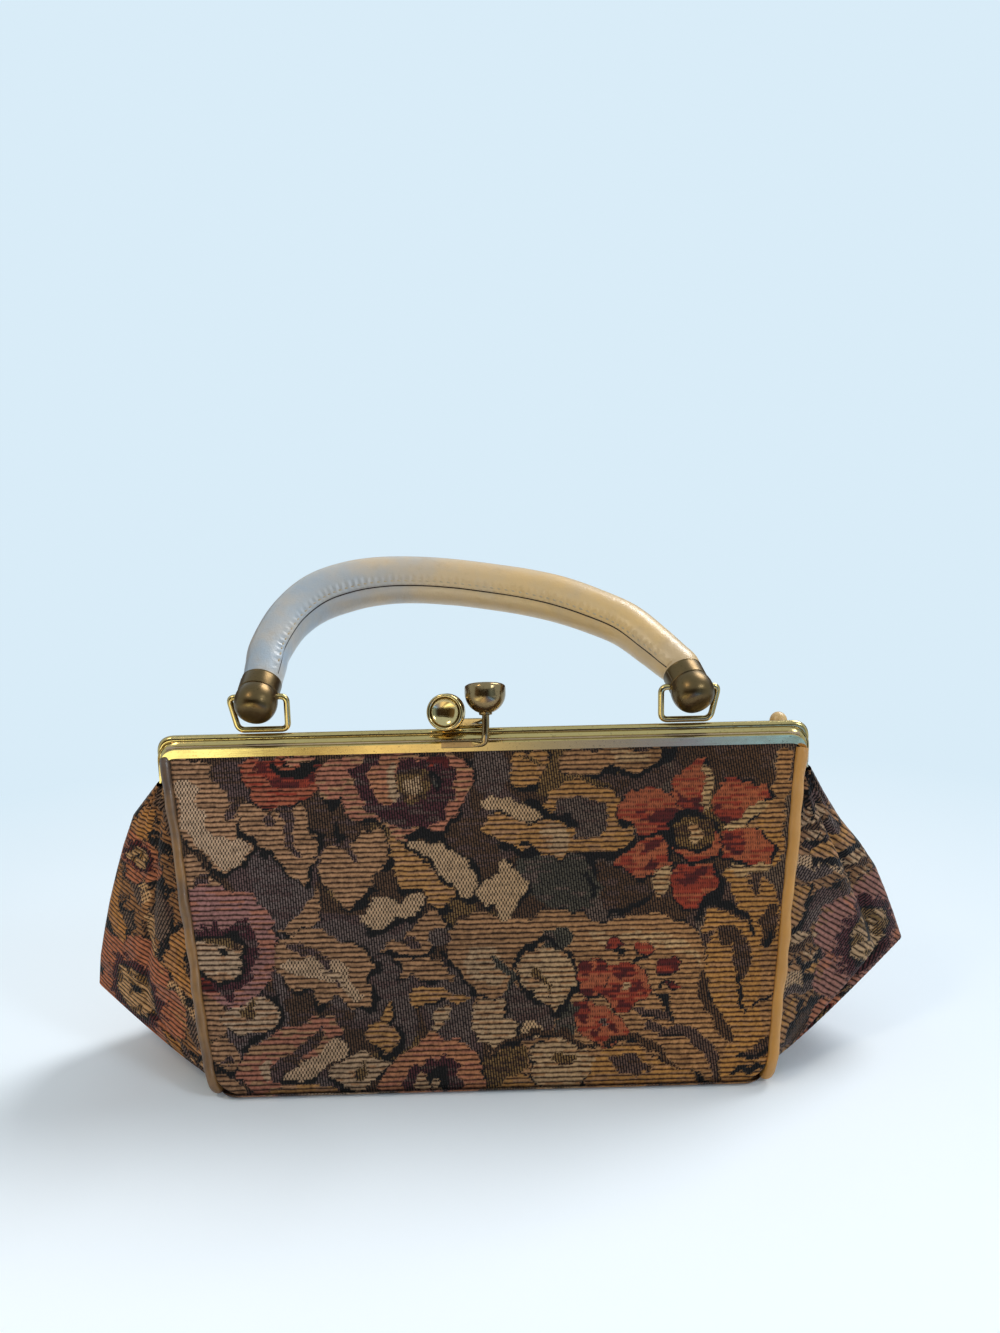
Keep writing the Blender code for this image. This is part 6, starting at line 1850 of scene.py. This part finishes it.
class BAG_OT_handle(bpy.types.Operator):
    """Rolled leather grip with its lap seam and stitches, and the two domed caps"""
    bl_idname = "bag.handle"
    bl_label = "Handle"

    def execute(self, context):
        leather = context.scene.bag_leather
        line = handle_line(420)
        along = lengths_along(line)
        keep = (along > GRIP_TRIM) & (along < along[-1] - GRIP_TRIM)
        line, along = line[keep], along[keep]
        t = (along - along[0]) / (along[-1] - along[0])
        front = np.array([0, -cos(HANDLE_LEAN), sin(HANDLE_LEAN)])
        outward = np.cross(tangents(line), front)
        upward = np.array([0, sin(HANDLE_LEAN), cos(HANDLE_LEAN)])
        outward *= np.sign((outward * upward).sum(axis=1).mean() or 1)
        radius = GRIP_RADIUS * (0.69 + 0.31 * np.sin(pi * share_of(t)) ** 0.5)
        radius *= 1 + 0.10 * np.exp(-((t - 0.27) / 0.09) ** 2) - 0.03 * np.exp(-((t - 0.55) / 0.1) ** 2)
        from_end = np.minimum(along - along[0], along[-1] - along)
        radius = np.minimum(radius, 6.4 * MM + 200 * from_end**2 + 0.10 * from_end)
        angles = turns(GRIP_SIDES)
        seam = leather.seam_angle
        delta = (angles - seam + pi) % (2 * pi) - pi
        strength = share_of(np.minimum(t, 1 - t) / 0.06)[:, None]
        under = -0.13 * np.exp(-(delta / 0.5)) * (1 - np.exp(-(delta / 0.03) ** 2))
        lap = np.where(delta > 0, under, 0.018 * np.exp(delta / 0.25))
        ridge = 0.012 * np.exp(-((delta + 0.09) / 0.06) ** 2)
        pitch = np.sin(2 * pi * along / leather.stitch)[:, None]
        dents = pitch * 0.024 * np.exp(-((delta + 0.26) / 0.14) ** 2)
        places = np.broadcast_arrays(along[:, None] / MM, angles * 9)
        soft = 0.018 * (value_noise(*places, 14, 5) - 0.5)
        crease = -0.05 * np.exp(-((t[:, None] - 0.93) / 0.006) ** 2) * np.exp(-((delta + 0.6) / 0.5) ** 2)
        shape = radius[:, None] * (1 + strength * (lap + ridge + dents + crease) + soft)
        c, s = np.cos(angles)[None, :, None], np.sin(angles)[None, :, None]
        rings = line[:, None] + (outward[:, None] * c + front * s) * shape[..., None]
        grip = joined("grip", [capped(rings)], LOOKS["leather"], radians(60))
        rest_on(grip, "handle", "leather", "handle_grip")
        self.stitches(leather, line, along, outward, front, radius)
        # A dark tube sunk along the lap seam: painted shade where the seam's gap lies in shadow
        turn = seam + 0.05
        deep = radius * (0.885 + 0.08 * (1 - strength[:, 0]))
        gap = line + (outward * cos(turn) + front * sin(turn)) * deep[:, None]
        obj = joined("grip_seam_shadow", [tube(gap[9:-9:3], 0.36 * MM, 8, up=(0, 0.3, 1))], LOOKS["seam"])
        rest_on(obj, "handle", "leather")
        for end, at in ((LEFT, 0), (RIGHT, -1)):
            self.cap(end, line, at)
        return {"FINISHED"}

    def stitches(self, leather, line, along, outward, front, radius):
        """Short slanted threads along the lap seam."""
        pieces = []
        start, stop = along[0] + 8 * MM, along[-1] - 9 * MM
        thick = np.array([0.10, 0.2, 0.24, 0.25, 0.24, 0.2, 0.10]) * MM
        for i in range(int((stop - start) / leather.stitch)):
            ends = []
            for shift in (-0.32, 0.0, 0.32):
                s = start + (i + 0.5 + shift) * leather.stitch
                p = np.array([np.interp(s, along, line[:, k]) for k in range(3)])
                o = np.array([np.interp(s, along, outward[:, k]) for k in range(3)])
                a = leather.seam_angle - 0.17 + 0.05 * shift
                reach = np.interp(s, along, radius) * (0.985 if shift else 1.012)
                ends.append(tuple(p + (o * cos(a) + front * sin(a)) * reach))
            pieces.append(tube(smooth_line(ends, 7), thick, 8, up=(0, 0.3, 1)))
        obj = joined("grip_stitches", pieces, LOOKS["thread"])
        rest_on(obj, "handle", "leather")

    def cap(self, end, line, at):
        """A turned ferrule with a domed end, and the narrow folded seam down its side."""
        pivot = loop_centre(end)
        axis = (Vector(line[at]) - pivot).normalized()
        profile = [
            (0, 3.2), (6.4, 3.2), (6.55, CAP_TOP - 0.1), (6.8, CAP_TOP + 0.1), (CAP_NECK, CAP_TOP - 0.05),
            (CAP_NECK + 0.02, CAP_TOP - 0.3), (CAP_NECK - 0.06, CAP_TOP - 0.55), (CAP_NECK, CAP_TOP - 0.8),
            (CAP_NECK - 0.02, 1.35), (CAP_NECK - 0.25, 1.15),
        ]
        tall = 0.84 * CAP_DOME
        angles = np.linspace(-0.42, pi / 2, 16)[:-1]
        profile += [(CAP_DOME * cos(t) ** 0.55, -CAP_DROP - tall * sin(t)) for t in angles]
        profile.append((0, -CAP_DROP - tall))
        place = Matrix.Translation(pivot) @ axis.to_track_quat("Z", "Y").to_matrix().to_4x4()
        pieces = [lathe(profile, place, 72)]
        out = (CAP_NECK + 0.04) * MM
        for turn in (-0.5, 1.9):
            ridge = [place @ Vector((out * sin(turn), -out * cos(turn), h))
                     for h in np.linspace(1.5 * MM, (CAP_TOP - 0.3) * MM, 12)]
            pieces.append(tube(ridge, 0.17 * MM, 6, up=(1, 0.2, 0.1)))
        obj = joined(f"cap_{END_WORD[end]}", pieces, LOOKS["cap"], radians(24))
        rest_on(obj, "handle", "cap_brass", f"handle_cap_{END_WORD[end]}")


class BAG_OT_inside(bpy.types.Operator):
    """Looks for the CAD pieces that stay: cards, board, cords and the handle's core"""
    bl_idname = "bag.inside"
    bl_label = "Hidden pieces"

    def execute(self, context):
        for name in ("base_board", "card_front", "card_back", "cord_front", "cord_back", "handle_core"):
            data = frame["nodes"][name].data
            data.materials.clear()
            data.materials.append(LOOKS["card"])
        return {"FINISHED"}


class BAG_PT_sidebar(bpy.types.Panel):
    """The bag's pieces and their sizes"""
    bl_idname = "BAG_PT_sidebar"
    bl_label = "Tapestry handbag"
    bl_space_type = "VIEW_3D"
    bl_region_type = "UI"
    bl_category = "Handbag"

    def draw(self, context):
        for group in SETTINGS:
            settings = getattr(context.scene, group)
            box = self.layout.box()
            for key in settings.__annotations__:
                box.prop(settings, key)
        for step in STEPS:
            self.layout.operator(step.bl_idname)


STEPS = (
    BAG_OT_stage, BAG_OT_panels, BAG_OT_ends, BAG_OT_piping, BAG_OT_lining, BAG_OT_frame,
    BAG_OT_clasp, BAG_OT_loops, BAG_OT_handle, BAG_OT_inside,
)
SETTINGS = {"bag_cloth": BagCloth, "bag_leather": BagLeather, "bag_metal": BagMetal, "bag_stage": BagStage}


def register():
    for group in SETTINGS.values():
        bpy.utils.register_class(group)
    for key, group in SETTINGS.items():
        setattr(bpy.types.Scene, key, bpy.props.PointerProperty(type=group))
    for step in (*STEPS, BAG_PT_sidebar):
        bpy.utils.register_class(step)


def unregister():
    for step in (*STEPS, BAG_PT_sidebar):
        bpy.utils.unregister_class(step)
    for key, group in SETTINGS.items():
        delattr(bpy.types.Scene, key)
        bpy.utils.unregister_class(group)


def main():
    register()
    LOOKS.update(build_looks())
    for step in STEPS:
        group, name = step.bl_idname.split(".")
        getattr(getattr(bpy.ops, group), name)()


if __name__ == "__main__":
    main()
